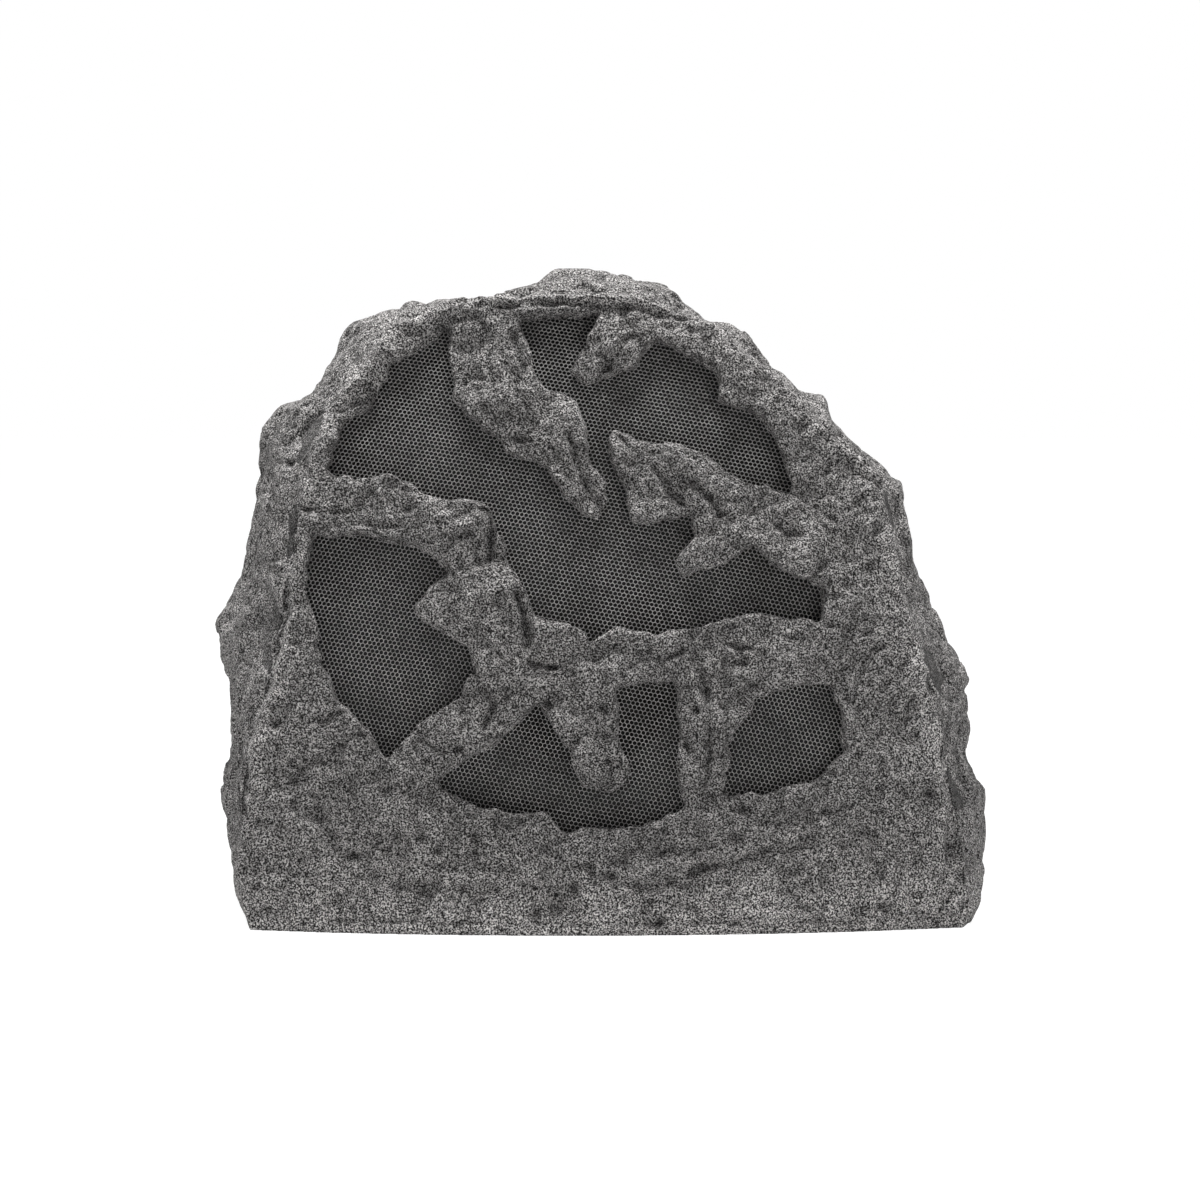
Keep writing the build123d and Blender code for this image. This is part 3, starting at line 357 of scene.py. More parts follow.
class StudioLook(bpy.types.PropertyGroup):
    """The camera and the light."""

    lens: FloatProperty(
        name="Lens", description="Focal length of the camera, in millimetres", default=85.0,
    )
    target: FloatVectorProperty(
        name="Target", description="Point that the camera looks at",
        default=(0.001, -0.123, 0.174), subtype="TRANSLATION",
    )
    distance: FloatProperty(
        name="Distance", description="Distance of the camera from its target",
        default=1.51, unit="LENGTH",
    )
    elevation: FloatProperty(
        name="Elevation", description="How far the camera looks down",
        default=math.radians(4.0), subtype="ANGLE",
    )
    left_power: FloatProperty(
        name="Left light", description="Power of the light on the left, in watts", default=4.0,
    )
    right_power: FloatProperty(
        name="Right light", description="Power of the light on the right, in watts", default=6.0,
    )
    top_power: FloatProperty(
        name="Top light", description="Power of the light overhead, in watts", default=72.0,
    )
    sky: FloatProperty(name="Sky", description="Strength of the light all round", default=0.12)


class Value:
    """A shader socket that Python's operators can work on."""

    def __init__(self, finish, socket):
        self.finish = finish
        self.socket = socket

    def _math(self, operation, first, second):
        return self.finish.node("ShaderNodeMath", {"operation": operation}, {0: first, 1: second})

    def __add__(self, other):
        return self._math("ADD", self, other)

    __radd__ = __add__

    def __mul__(self, other):
        return self._math("MULTIPLY", self, other)

    __rmul__ = __mul__


class Finish:
    """A material whose nodes all come from one method."""

    def __init__(self, name):
        self.material = bpy.data.materials.new(name)
        self.material.use_nodes = True
        self.tree = self.material.node_tree
        self.surface = self.tree.nodes["Principled BSDF"]

    def feed(self, socket, value):
        if isinstance(value, Value):
            self.tree.links.new(value.socket, socket)
        else:
            socket.default_value = value

    def node(self, kind, settings=None, inputs=None, output=0):
        made = self.tree.nodes.new(kind)
        for key, value in (settings or {}).items():
            if key == "stops":
                self._ramp(made.color_ramp, value)
            else:
                setattr(made, key, value)
        for key, value in (inputs or {}).items():
            self.feed(made.inputs[key], value)
        return Value(self, made.outputs[output])

    def _ramp(self, ramp, stops):
        while len(ramp.elements) < len(stops):
            ramp.elements.new(1.0)
        for element, (place, shade) in zip(ramp.elements, stops):
            element.position = place
            element.color = (*shade, 1.0) if isinstance(shade, tuple) else (shade, shade, shade, 1.0)

    def place(self):
        return self.node("ShaderNodeTexCoord", output="Object")

    def noise(self, place, size, detail=2.0, roughness=0.5):
        return self.node(
            "ShaderNodeTexNoise",
            {"noise_dimensions": "3D"},
            {"Vector": place, "Scale": 1.0 / size, "Detail": detail, "Roughness": roughness},
        )

    def ramp(self, value, stops):
        return self.node("ShaderNodeValToRGB", {"stops": stops}, {0: value})

    def mix(self, share, first, second, blend="MIX"):
        return self.node(
            "ShaderNodeMix", {"data_type": "RGBA", "blend_type": blend},
            {0: share, 6: first, 7: second}, 2,
        )

    def bump(self, height, depth, under=None):
        inputs = {"Strength": 1.0, "Distance": depth, "Height": height}
        if under is not None:
            inputs["Normal"] = under
        return self.node("ShaderNodeBump", None, inputs)

    def set(self, **inputs):
        for key, value in inputs.items():
            self.feed(self.surface.inputs[key.replace("_", " ")], value)
        return self.material


def tint(colour, factor):
    """A colour made lighter or darker."""
    return tuple(channel * factor for channel in colour)


def granite(look, name):
    """Sprayed granite: fine grains in loose patches, with painted shade in the hollows and round the
    windows, a painted highlight on the rim and painted bounce light at the foot.
    """
    stone = Finish(name)
    place = stone.place()
    grains = stone.noise(place, look.grain, 1.0, 0.5)
    dark = tuple(look.stone_dark)
    middle = tuple(look.stone_middle)
    light = tuple(look.stone_light)
    speckle = stone.ramp(grains, [(0.37, dark), (0.49, middle), (0.64, light)])
    patches = stone.noise(place, 24.0 * MM, 3.0, 0.6)
    drifts = stone.noise(place, 6.0 * MM, 2.0, 0.5)
    shade = stone.ramp(patches * 0.45 + drifts * 0.55, [(0.38, 0.64), (0.5, 1.0), (0.64, 1.22)])
    height = stone.node("ShaderNodeSeparateXYZ", None, {0: place}, 2)
    # Painted bounce light from the floor: the colour is lighter towards the foot and a little darker at
    # mid height
    dust = stone.ramp(
        height * (1.0 / (FOOT_LIGHT_HEIGHT * MM)), [(0.04, 1.38), (0.18, 1.02), (0.4, 0.9), (0.9, 1.02)],
    )
    hollow = stone.node("ShaderNodeAttribute", {"attribute_name": "hollow"}, output="Fac")
    # Painted shade: the deeper a vertex lies in a hollow, the darker its colour
    weather = stone.ramp(hollow, [(0.0, 1.0), (0.45, 0.72), (1.0, 0.38)])
    colour = stone.mix(1.0, speckle, shade, "MULTIPLY")
    colour = stone.mix(1.0, colour, weather, "MULTIPLY")
    colour = stone.mix(1.0, colour, dust, "MULTIPLY")
    # The tone paints shade on the stone near the windows and a painted highlight on the rim
    tone = stone.node("ShaderNodeAttribute", {"attribute_name": "tone"}, output="Fac")
    wear = stone.ramp(tone, [(0.0, 0.84), (PLAIN_TONE, 1.0), (1.0, 1.6)])
    colour = stone.mix(1.0, colour, wear, "MULTIPLY")
    rough = stone.ramp(grains, [(0.3, 0.95), (0.7, 0.78)])
    pits = stone.noise(place, 4.0 * MM, 3.0, 0.6)
    swells = stone.noise(place, 9.0 * MM, 2.0, 0.5)
    relief = stone.bump(swells, 3.0 * MM)
    relief = stone.bump(pits, 2.2 * MM, relief)
    relief = stone.bump(grains, 0.5 * MM, relief)
    return stone.set(Base_Color=colour, Roughness=rough, Specular_IOR_Level=0.3, Normal=relief)


def painted_sheet(look, name):
    """Sprayed metal: an even grey with faint specks and dust."""
    coat = Finish(name)
    place = coat.place()
    specks = coat.noise(place, look.grain * 1.6, 1.0)
    middle = tuple(look.sheet_paint)
    shade = coat.ramp(specks, [(0.34, tint(middle, 0.62)), (0.66, tint(middle, 1.38))])
    dust = coat.ramp(coat.noise(place, 16.0 * MM, 3.0, 0.6), [(0.35, 0.8), (0.65, 1.12)])
    colour = coat.mix(1.0, shade, dust, "MULTIPLY")
    return coat.set(Base_Color=colour, Roughness=0.82, Specular_IOR_Level=0.3)


def moulding(name, colour, roughness, grain=0.7 * MM):
    """Moulded plastic or rubber with a fine grain and faint smears."""
    skin = Finish(name)
    place = skin.place()
    smears = skin.noise(place, 18.0 * MM, 3.0)
    dots = skin.noise(place, grain, 2.0)
    shade = skin.ramp(smears, [(0.35, tint(colour, 0.82)), (0.65, tint(colour, 1.2))])
    dull = skin.ramp(smears, [(0.3, roughness - 0.07), (0.7, roughness + 0.07)])
    return skin.set(Base_Color=shade, Roughness=dull, Normal=skin.bump(dots, 0.12 * MM))


def plated(name, colour, roughness, metallic=1.0):
    """Turned or plated metal with fine wear."""
    metal = Finish(name)
    place = metal.place()
    wear = metal.noise(place, 6.0 * MM, 4.0, 0.6)
    scratch = metal.noise(place, 0.9 * MM, 2.0)
    shade = metal.ramp(wear, [(0.35, tint(colour, 0.8)), (0.65, tint(colour, 1.12))])
    dull = metal.ramp(wear, [(0.3, roughness - 0.06), (0.7, roughness + 0.1)])
    return metal.set(
        Base_Color=shade, Metallic=metallic, Roughness=dull, Normal=metal.bump(scratch, 0.05 * MM),
    )


def woven(name, colour, thread):
    """Treated cloth with a weave on two axes."""
    cloth = Finish(name)
    place = cloth.place()
    parts = cloth.node("ShaderNodeSeparateXYZ", None, {0: place})
    across = cloth.node("ShaderNodeMath", {"operation": "SINE"}, {0: parts * (math.tau / thread)})
    upright = cloth.node("ShaderNodeSeparateXYZ", None, {0: place}, 2)
    along = cloth.node("ShaderNodeMath", {"operation": "SINE"}, {0: upright * (math.tau / thread)})
    weave = across * along * 0.5 + 0.5
    fuzz = cloth.noise(place, 1.2 * MM, 2.0)
    shade = cloth.ramp(weave * 0.6 + fuzz * 0.4, [(0.2, tint(colour, 0.6)), (0.8, tint(colour, 1.2))])
    return cloth.set(Base_Color=shade, Roughness=0.9, Normal=cloth.bump(weave, 0.2 * MM))


def only(thing):
    """Select one object and make it active."""
    bpy.ops.object.select_all(action="DESELECT")
    thing.select_set(True)
    bpy.context.view_layer.objects.active = thing


def apply_modifier(thing, kind, **settings):
    """Add a modifier, set it and apply it."""
    modifier = thing.modifiers.new(kind.title(), kind)
    for key, value in settings.items():
        setattr(modifier, key, value)
    only(thing)
    bpy.ops.object.modifier_apply(modifier=modifier.name)


def copy_of(node, name):
    """A merged copy of a solid of the frame, free of its marks."""
    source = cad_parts[node]
    thing = bpy.data.objects.new(name, source.data.copy())
    bpy.context.scene.collection.objects.link(thing)
    thing.data.materials.clear()
    only(thing)
    bpy.ops.object.mode_set(mode="EDIT")
    bpy.ops.mesh.select_all(action="SELECT")
    bpy.ops.mesh.remove_doubles(threshold=0.001 * MM)
    bpy.ops.object.mode_set(mode="OBJECT")
    return thing


def read_points(mesh):
    """Places of a mesh's vertices, in millimetres."""
    flat = np.empty(len(mesh.vertices) * 3)
    mesh.vertices.foreach_get("co", flat)
    return flat.reshape(-1, 3) / MM


def write_points(mesh, points):
    """Move a mesh's vertices to places in millimetres."""
    mesh.vertices.foreach_set("co", (points * MM).ravel())
    mesh.update()


def read_normals(mesh):
    """Directions of a mesh's vertices."""
    flat = np.empty(len(mesh.vertices) * 3)
    mesh.vertex_normals.foreach_get("vector", flat)
    return flat.reshape(-1, 3)


def store(mesh, name, values):
    """Keep a number for every vertex under a name."""
    kept = mesh.attributes.new(name, "FLOAT", "POINT")
    kept.data.foreach_set("value", values.astype(np.float32))


def face_corners(mesh, count):
    """Numbers of the vertices of faces that all have so many corners."""
    corners = np.empty(len(mesh.loops), int)
    mesh.loops.foreach_get("vertex_index", corners)
    return corners.reshape(-1, count)


def face_centres(mesh):
    """Middles of a mesh's faces, in millimetres."""
    flat = np.empty(len(mesh.polygons) * 3)
    mesh.polygons.foreach_get("center", flat)
    return flat.reshape(-1, 3) / MM


def ease(value, low, high):
    """Smooth step from 0 at low to 1 at high."""
    share = np.clip((value - low) / (high - low), 0.0, 1.0)
    return share * share * (3.0 - 2.0 * share)


def on_face(points):
    """Across and up on the plane of the windows."""
    offset = points - WINDOW_FOOT
    return offset[:, 0], offset @ FACE_UP


def under_dome(points):
    """Depth of points under the dome of the face."""
    return DOME_RADIUS - np.linalg.norm(points - DOME_CENTRE, axis=1)


def along_route(across, up, route):
    """Distance along a route of straight runs, and signed distance aside from it."""
    nearest = np.full(len(across), np.inf)
    along = np.zeros(len(across))
    aside = np.zeros(len(across))
    start = 0.0
    for (x0, y0), (x1, y1) in zip(route, route[1:]):
        run_x, run_y = x1 - x0, y1 - y0
        length = math.hypot(run_x, run_y)
        off_x, off_y = across - x0, up - y0
        share = np.clip((off_x * run_x + off_y * run_y) / length**2, 0.0, 1.0)
        gap = np.hypot(off_x - share * run_x, off_y - share * run_y)
        nearer = gap < nearest
        nearest[nearer] = gap[nearer]
        along[nearer] = start + share[nearer] * length
        aside[nearer] = (np.sign(run_x * off_y - run_y * off_x) * gap)[nearer]
        start += length
    return along, aside


def inside_outline(across, up, outline):
    """Which places lie inside a closed outline."""
    inside = np.zeros(len(across), bool)
    for (x0, y0), (x1, y1) in zip(outline, outline[1:] + outline[:1]):
        crosses = (y0 > up) != (y1 > up)
        if y0 != y1:
            inside ^= crosses & (across < (x1 - x0) * (up - y0) / (y1 - y0) + x0)
    return inside


def outside_distance(across, up, outline):
    """Distance from a closed outline, negative inside it."""
    _, aside = along_route(across, up, outline + outline[:1])
    gap = np.abs(aside)
    return np.where(inside_outline(across, up, outline), -gap, gap)


def nearest_window(across, up):
    """Distance from the nearest window on the plane of the windows, negative inside one."""
    return np.min([outside_distance(across, up, window) for window in WINDOWS.values()], axis=0)


def window_distance(points):
    """Distance from the nearest window for the stone near the face, endless for the rest."""
    distance = np.full(len(points), np.inf)
    shallow = np.flatnonzero(under_dome(points) < 2.0 * WALL_DEPTH)
    distance[shallow] = nearest_window(*on_face(points[shallow]))
    return distance


def lattice_noise(points, cell, seed):
    """Smooth noise from -1 to 1 on a repeating lattice, for points of two or three measures."""
    side = 32
    scaled = points / cell
    base = np.floor(scaled).astype(int)
    share = scaled - base
    share = share * share * (3.0 - 2.0 * share)
    measures = points.shape[1]
    heights = np.random.default_rng(seed).uniform(-1.0, 1.0, (side,) * measures)
    total = np.zeros(len(points))
    for corner in range(2**measures):
        steps = np.array([(corner >> axis) & 1 for axis in range(measures)])
        weight = np.prod(np.where(steps, share, 1.0 - share), axis=1)
        total += weight * heights[tuple(((base + steps) % side).T)]
    return total


def set_group(thing, name, weights):
    """A vertex group with a weight for every vertex, in small steps."""
    group = thing.vertex_groups.new(name=name)
    steps = np.round(np.clip(weights, 0.0, 1.0) * GROUP_STEPS).astype(int)
    for step in np.unique(steps):
        group.add(np.flatnonzero(steps == step).tolist(), float(step) / GROUP_STEPS, "REPLACE")


def cavity_shade_attribute(mesh):
    """Store how deep each vertex lies under its neighbours, for the painted shade that darkens the colour
    in hollows.
    """
    points = read_points(mesh)
    normals = read_normals(mesh)
    pairs = np.empty(len(mesh.edges) * 2, int)
    mesh.edges.foreach_get("vertices", pairs)
    first, second = pairs.reshape(-1, 2).T
    count = np.bincount(first, minlength=len(points)) + np.bincount(second, minlength=len(points))

    def average(values):
        total = np.zeros_like(values)
        np.add.at(total, first, values[second])
        np.add.at(total, second, values[first])
        return total / np.maximum(count, 1).reshape(-1, *([1] * (values.ndim - 1)))

    smooth = points
    for _ in range(HOLLOW_ROUNDS):
        smooth = average(smooth)
    depth = np.einsum("ij,ij->i", smooth - points, normals)
    depth = average(depth) * 0.5 + depth * 0.5
    depth *= ease(window_distance(points), 0.0, LIP_REACH)
    store(mesh, "hollow", np.clip(depth / HOLLOW_FULL, 0.0, 1.0))


def finish_piece(thing, body, material):
    """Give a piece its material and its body."""
    thing.data.materials.clear()
    thing.data.materials.append(material)
    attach(thing, body)


class SPEAKER_OT_boulder(bpy.types.Operator):
    """Weather the moulded boulder: lumps, crags, fluted ribs and crevices"""

    bl_idname = "speaker.boulder"
    bl_label = "Boulder"

    def execute(self, context):
        look = context.scene.speaker_look
        stone = self.joined()
        apply_modifier(stone, "REMESH", mode="VOXEL", voxel_size=look.voxel)
        points = read_points(stone.data)
        outer = self.exposure(stone.data, points)
        set_group(stone, "outer", outer)
        store(stone.data, "open", outer)
        self.thin_inside(stone, outer < INSIDE_EXPOSURE)
        apply_modifier(stone, "SMOOTH", factor=0.5, iterations=2, vertex_group="outer")
        self.weather(stone, look)
        self.carve(stone, look)
        cavity_shade_attribute(stone.data)
        apply_modifier(stone, "TRIANGULATE")
        stone.vertex_groups.clear()
        paint = granite(look, "granite_boulder")
        for part, node in ((self.cut_face(stone), "rock_face"), (stone, "rock_shell")):
            share = look.triangles / len(part.data.polygons)
            if share < 1.0:
                apply_modifier(part, "DECIMATE", ratio=share)
            self.keep_in_box(part)
            only(part)
            bpy.ops.object.shade_smooth()
            finish_piece(part, "enclosure", paint)
            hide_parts(node)
        return {"FINISHED"}

    def joined(self):
        """Copies of the face and the body in one mesh, the face let into the body so that they merge."""
        stone = copy_of("rock_face", "boulder")
        points = read_points(stone.data)
        spokes = points - DOME_CENTRE
        reach = np.linalg.norm(spokes, axis=1, keepdims=True)
        behind = np.abs(DOME_RADIUS - WALL_DEPTH - reach) < 0.1
        write_points(stone.data, points - np.where(behind, FACE_BITE * spokes / reach, 0.0))
        body = copy_of("rock_shell", "body")
        only(stone)
        body.select_set(True)
        bpy.ops.object.join()
        return stone

    def cut_face(self, stone):
        """Part the finished face from the body, along the joint of the solids."""
        depth = under_dome(read_points(stone.data))
        self.select_faces(stone, depth[face_corners(stone.data, 3)].mean(axis=1) < WALL_DEPTH)
        bpy.ops.object.mode_set(mode="EDIT")
        bpy.ops.mesh.separate(type="SELECTED")
        bpy.ops.object.mode_set(mode="OBJECT")
        face = next(thing for thing in bpy.context.selected_objects if thing is not stone)
        face.name = "boulder_face"
        return face

    def select_faces(self, stone, chosen):
        """Select some faces of an object and nothing else."""
        mesh = stone.data
        bpy.context.tool_settings.mesh_select_mode = (False, False, True)
        mesh.vertices.foreach_set("select", np.zeros(len(mesh.vertices), bool))
        mesh.edges.foreach_set("select", np.zeros(len(mesh.edges), bool))
        mesh.polygons.foreach_set("select", chosen)
        only(stone)

    def thin_inside(self, stone, inner):
        """Thin the mesh where every corner of a face is inside."""
        self.select_faces(stone, inner[face_corners(stone.data, 4)].all(axis=1))
        bpy.ops.object.mode_set(mode="EDIT")
        bpy.ops.mesh.decimate(ratio=INSIDE_SHARE)
        bpy.ops.object.mode_set(mode="OBJECT")

    def exposure(self, mesh, points):
        """How far each vertex is open to the weather, from 0 inside and underneath to 1 outside."""
        normals = read_normals(mesh)
        away = points - BOULDER_HEART
        away /= np.linalg.norm(away, axis=1, keepdims=True)
        facing = ease(np.einsum("ij,ij->i", normals, away), *FACING_RANGE)
        depth = under_dome(points)
        near_window = window_distance(points) < LIP_REACH
        lip = near_window & (depth < LIP_BACK)
        facing = np.where(lip, np.maximum(facing, LIP_EXPOSURE), facing)
        fade = np.where(near_window, 1.0 - LIP_EXPOSURE * ease(depth, *LIP_RANGE), 1.0)
        off_gland = points - GLAND_SEAT
        aside = off_gland - np.outer(off_gland @ GLAND_OUT, GLAND_OUT)
        off_seat = ease(np.linalg.norm(aside, axis=1), *GLAND_RANGE)
        clear_of_gland = np.where(points[:, 1] > GLAND_SIDE, off_seat, 1.0)
        clear_of_ground = ease(points[:, 2], *GROUND_RANGE)
        return facing * fade * clear_of_gland * clear_of_ground

    def weather(self, stone, look):
        """Broad lumps, crags and fine pits, as displacements that act on the outside alone."""
        lumps = bpy.data.textures.new("lumps", "CLOUDS")
        lumps.noise_scale = look.lump_size
        lumps.noise_depth = 2
        crags = bpy.data.textures.new("crags", "MUSGRAVE")
        crags.musgrave_type = "RIDGED_MULTIFRACTAL"
        crags.noise_scale = look.crag_size
        crags.octaves = 3.0
        chips = bpy.data.textures.new("chips", "VORONOI")
        chips.noise_scale = look.chip_size
        pits = bpy.data.textures.new("pits", "CLOUDS")
        pits.noise_scale = PIT_SIZE * MM
        pits.noise_depth = 1
        for texture, strength, level in (
            (lumps, look.lump_height, 0.6),
            (crags, -look.crag_depth, 0.6),
            (chips, -look.chip_depth, 0.5),
            (pits, look.pitting, 0.5),
        ):
            apply_modifier(
                stone, "DISPLACE", texture=texture, strength=strength, mid_level=level,
                vertex_group="outer", texture_coords="LOCAL",
            )

    def carve(self, stone, look):
        """Shape the face, its lips and its rim, pock the stone all over and round its foot."""
        mesh = stone.data
        points = read_points(mesh)
        normals = read_normals(mesh)
        open_air = np.empty(len(points), np.float32)
        mesh.attributes["open"].data.foreach_get("value", open_air)
        mesh.attributes.remove(mesh.attributes["open"])
        depth = under_dome(points)
        from_window = window_distance(points)
        front = ease(normals @ FACE_OUT, *FRONT_RANGE) * (1.0 - ease(depth, *FRONT_DEPTH))
        front *= points[:, 1] < FRONT_END
        chosen = np.flatnonzero(front > 0.0)
        shaped = points.copy()
        shaped[chosen] += np.outer(self.face_height(points[chosen], look) * front[chosen], FACE_OUT)
        lip = np.flatnonzero((from_window < LIP_WIDTH) & (depth < WALL_DEPTH + FACE_BITE))
        shaped[lip] += self.ragged_lip(points[lip], look)
        shaped -= normals * (look.pock_depth / MM * self.pocks(points) * open_air)[:, None]
        edge = np.flatnonzero((depth < RIM_DEPTH) & (points[:, 1] < RIM_END) & (open_air > 0.0))
        rim = self.rim_height(points[edge], look) * open_air[edge]
        shaped[edge] += normals[edge] * rim[:, None]
        # Painted shade: the stone is drawn darker within reach of the windows
        tone = PLAIN_TONE * ease(from_window, *WINDOW_SHADE_RANGE)
        # Painted highlight along the rim of the face
        tone[edge] += (1.0 - PLAIN_TONE) * self.rim_highlight(points[edge])
        store(mesh, "tone", tone)
        self.hold_out(shaped, (front > FRONT_SURE) & (depth < DEEPEST))
        self.round_foot(shaped, points)
        write_points(mesh, shaped)

    def pocks(self, points):
        """Pock marks of two sizes, from 0 between them to more than 1 where they meet."""
        wide = ease(lattice_noise(points, 6.5, POCK_SEED), 0.25, 0.75)
        return wide + 0.6 * ease(lattice_noise(points, 3.6, POCK_SEED + 1), 0.3, 0.8)

    def hold_out(self, shaped, chosen):
        """Push chosen points of the face back out, so that none sinks to the sheet."""
        spokes = shaped - DOME_CENTRE
        reach = np.linalg.norm(spokes, axis=1)
        too_deep = np.where(chosen, DOME_RADIUS - reach - DEEPEST, 0.0)
        shaped += spokes * (np.maximum(too_deep, 0.0) / reach)[:, None]

    def round_foot(self, shaped, points):
        """Draw the sides in towards the ground."""
        low = np.clip(1.0 - points[:, 2] / FOOT_HEIGHT, 0.0, 1.0) ** 2
        side = ease(np.abs(points[:, 0]), *FOOT_RANGE)
        shaped[:, 0] -= np.sign(points[:, 0]) * FOOT_ROUND * low * side

    def ragged_lip(self, points, look):
        """Shift of the stone round the windows, so that their edges run unevenly."""
        across, up = on_face(points)
        flat = np.column_stack([across, up])
        share = 1.0 - np.clip(np.abs(window_distance(points)) / LIP_WIDTH, 0.0, 1.0)
        reach = look.lip_wander / MM * share

        def wander(seed):
            return lattice_noise(flat, 9.0, seed) + 0.7 * lattice_noise(flat, 4.5, seed + 1)

        sideways = np.outer(reach * wander(LIP_SEED), (1.0, 0.0, 0.0))
        return sideways + np.outer(reach * wander(LIP_SEED + 2), FACE_UP)

    def rim_height(self, points, look):
        """How far the edge of the face stands out from the groove that runs round it."""
        across, up = on_face(points)
        beyond = outside_distance(across, up, FACE_OUTLINE)
        beyond += RIM_WANDER * lattice_noise(points, 16.0, RIM_SEED)
        rim = look.rim_height / MM * np.exp(-(((beyond + RIM_INSET) / RIM_WIDTH) ** 2))
        groove = look.rim_groove / MM * ease(beyond, *RIM_GROOVE_START)
        groove *= 1.0 - ease(beyond, *RIM_GROOVE_END)
        foot = np.where(across > 0.0, RIGHT_RIM_FOOT, RIM_FOOT)
        fade = ease(up, foot, 2.0 * foot) * (0.85 + 0.25 * lattice_noise(points, 40.0, RIM_SEED + 1))
        return (rim - groove) * fade

    def rim_highlight(self, points):
        """How far a painted highlight lightens the edge of the face: 0 is not at all, and 1 is fully."""
        across, up = on_face(points)
        beyond = outside_distance(across, up, FACE_OUTLINE)
        band = np.exp(-(((beyond - HIGHLIGHT_MIDDLE) / HIGHLIGHT_WIDTH) ** 2))
        uneven = 0.7 + 0.4 * lattice_noise(points, 14.0, RIM_SEED + 2)
        return band * ease(up, RIM_FOOT, 2.0 * RIM_FOOT) * uneven

    def face_height(self, points, look):
        """How far the face stands out: ribs rounded, fluted and grooved along their run, and crevices."""
        across, up = on_face(points)
        from_edge = np.clip(window_distance(points) / ROUND_WIDTH, 0.0, 1.0)
        height = -look.rib_round / MM * (1.0 - from_edge) ** 2
        flutes = np.zeros(len(points))
        grooves = np.zeros(len(points))
        share = np.full(len(points), 1e-6)
        for number, rib in enumerate(RIBS):
            along, aside = along_route(across, up, rib)
            weight = np.exp(-((aside / RIB_REACH) ** 2))
            beside_rib = np.column_stack([along, aside])
            wander = aside + FLUTE_WANDER * lattice_noise(beside_rib, 14.0, WANDER_SEED + number)
            coarse = lattice_noise(np.column_stack([along / 3.0, wander]), 6.0, COARSE_SEED + number)
            fine = lattice_noise(np.column_stack([along / 2.5, wander]), 3.2, FINE_SEED + number)
            breaks = lattice_noise(np.column_stack([along / 2.2, wander]), 5.0, BREAK_SEED + number)
            flutes += weight * (0.6 * coarse + 0.4 * fine)
            grooves += weight * ease(breaks, *GROOVE_RANGE)
            share += weight
        flutes /= np.maximum(share, 1.0)
        grooves /= np.maximum(share, 1.0)
        height += look.flute_height / MM * flutes - look.groove_depth / MM * grooves
        flat = np.column_stack([across, up])
        for number, (route, half_width, depth) in enumerate(CREVICES):
            _, aside = along_route(across, up, route)
            edge = np.abs(aside) + CREVICE_WANDER * lattice_noise(flat, 5.0, CREVICE_SEED + number)
            height -= depth * np.clip(CREVICE_FLOOR - np.abs(edge) / half_width, 0.0, 1.0)
        return height

    def keep_in_box(self, stone):
        """Hold the stone inside the box of the solids."""
        points = read_points(stone.data)
        low, high = (np.array(corner) / MM for corner in cad_box)
        write_points(stone.data, np.clip(points, low, high))


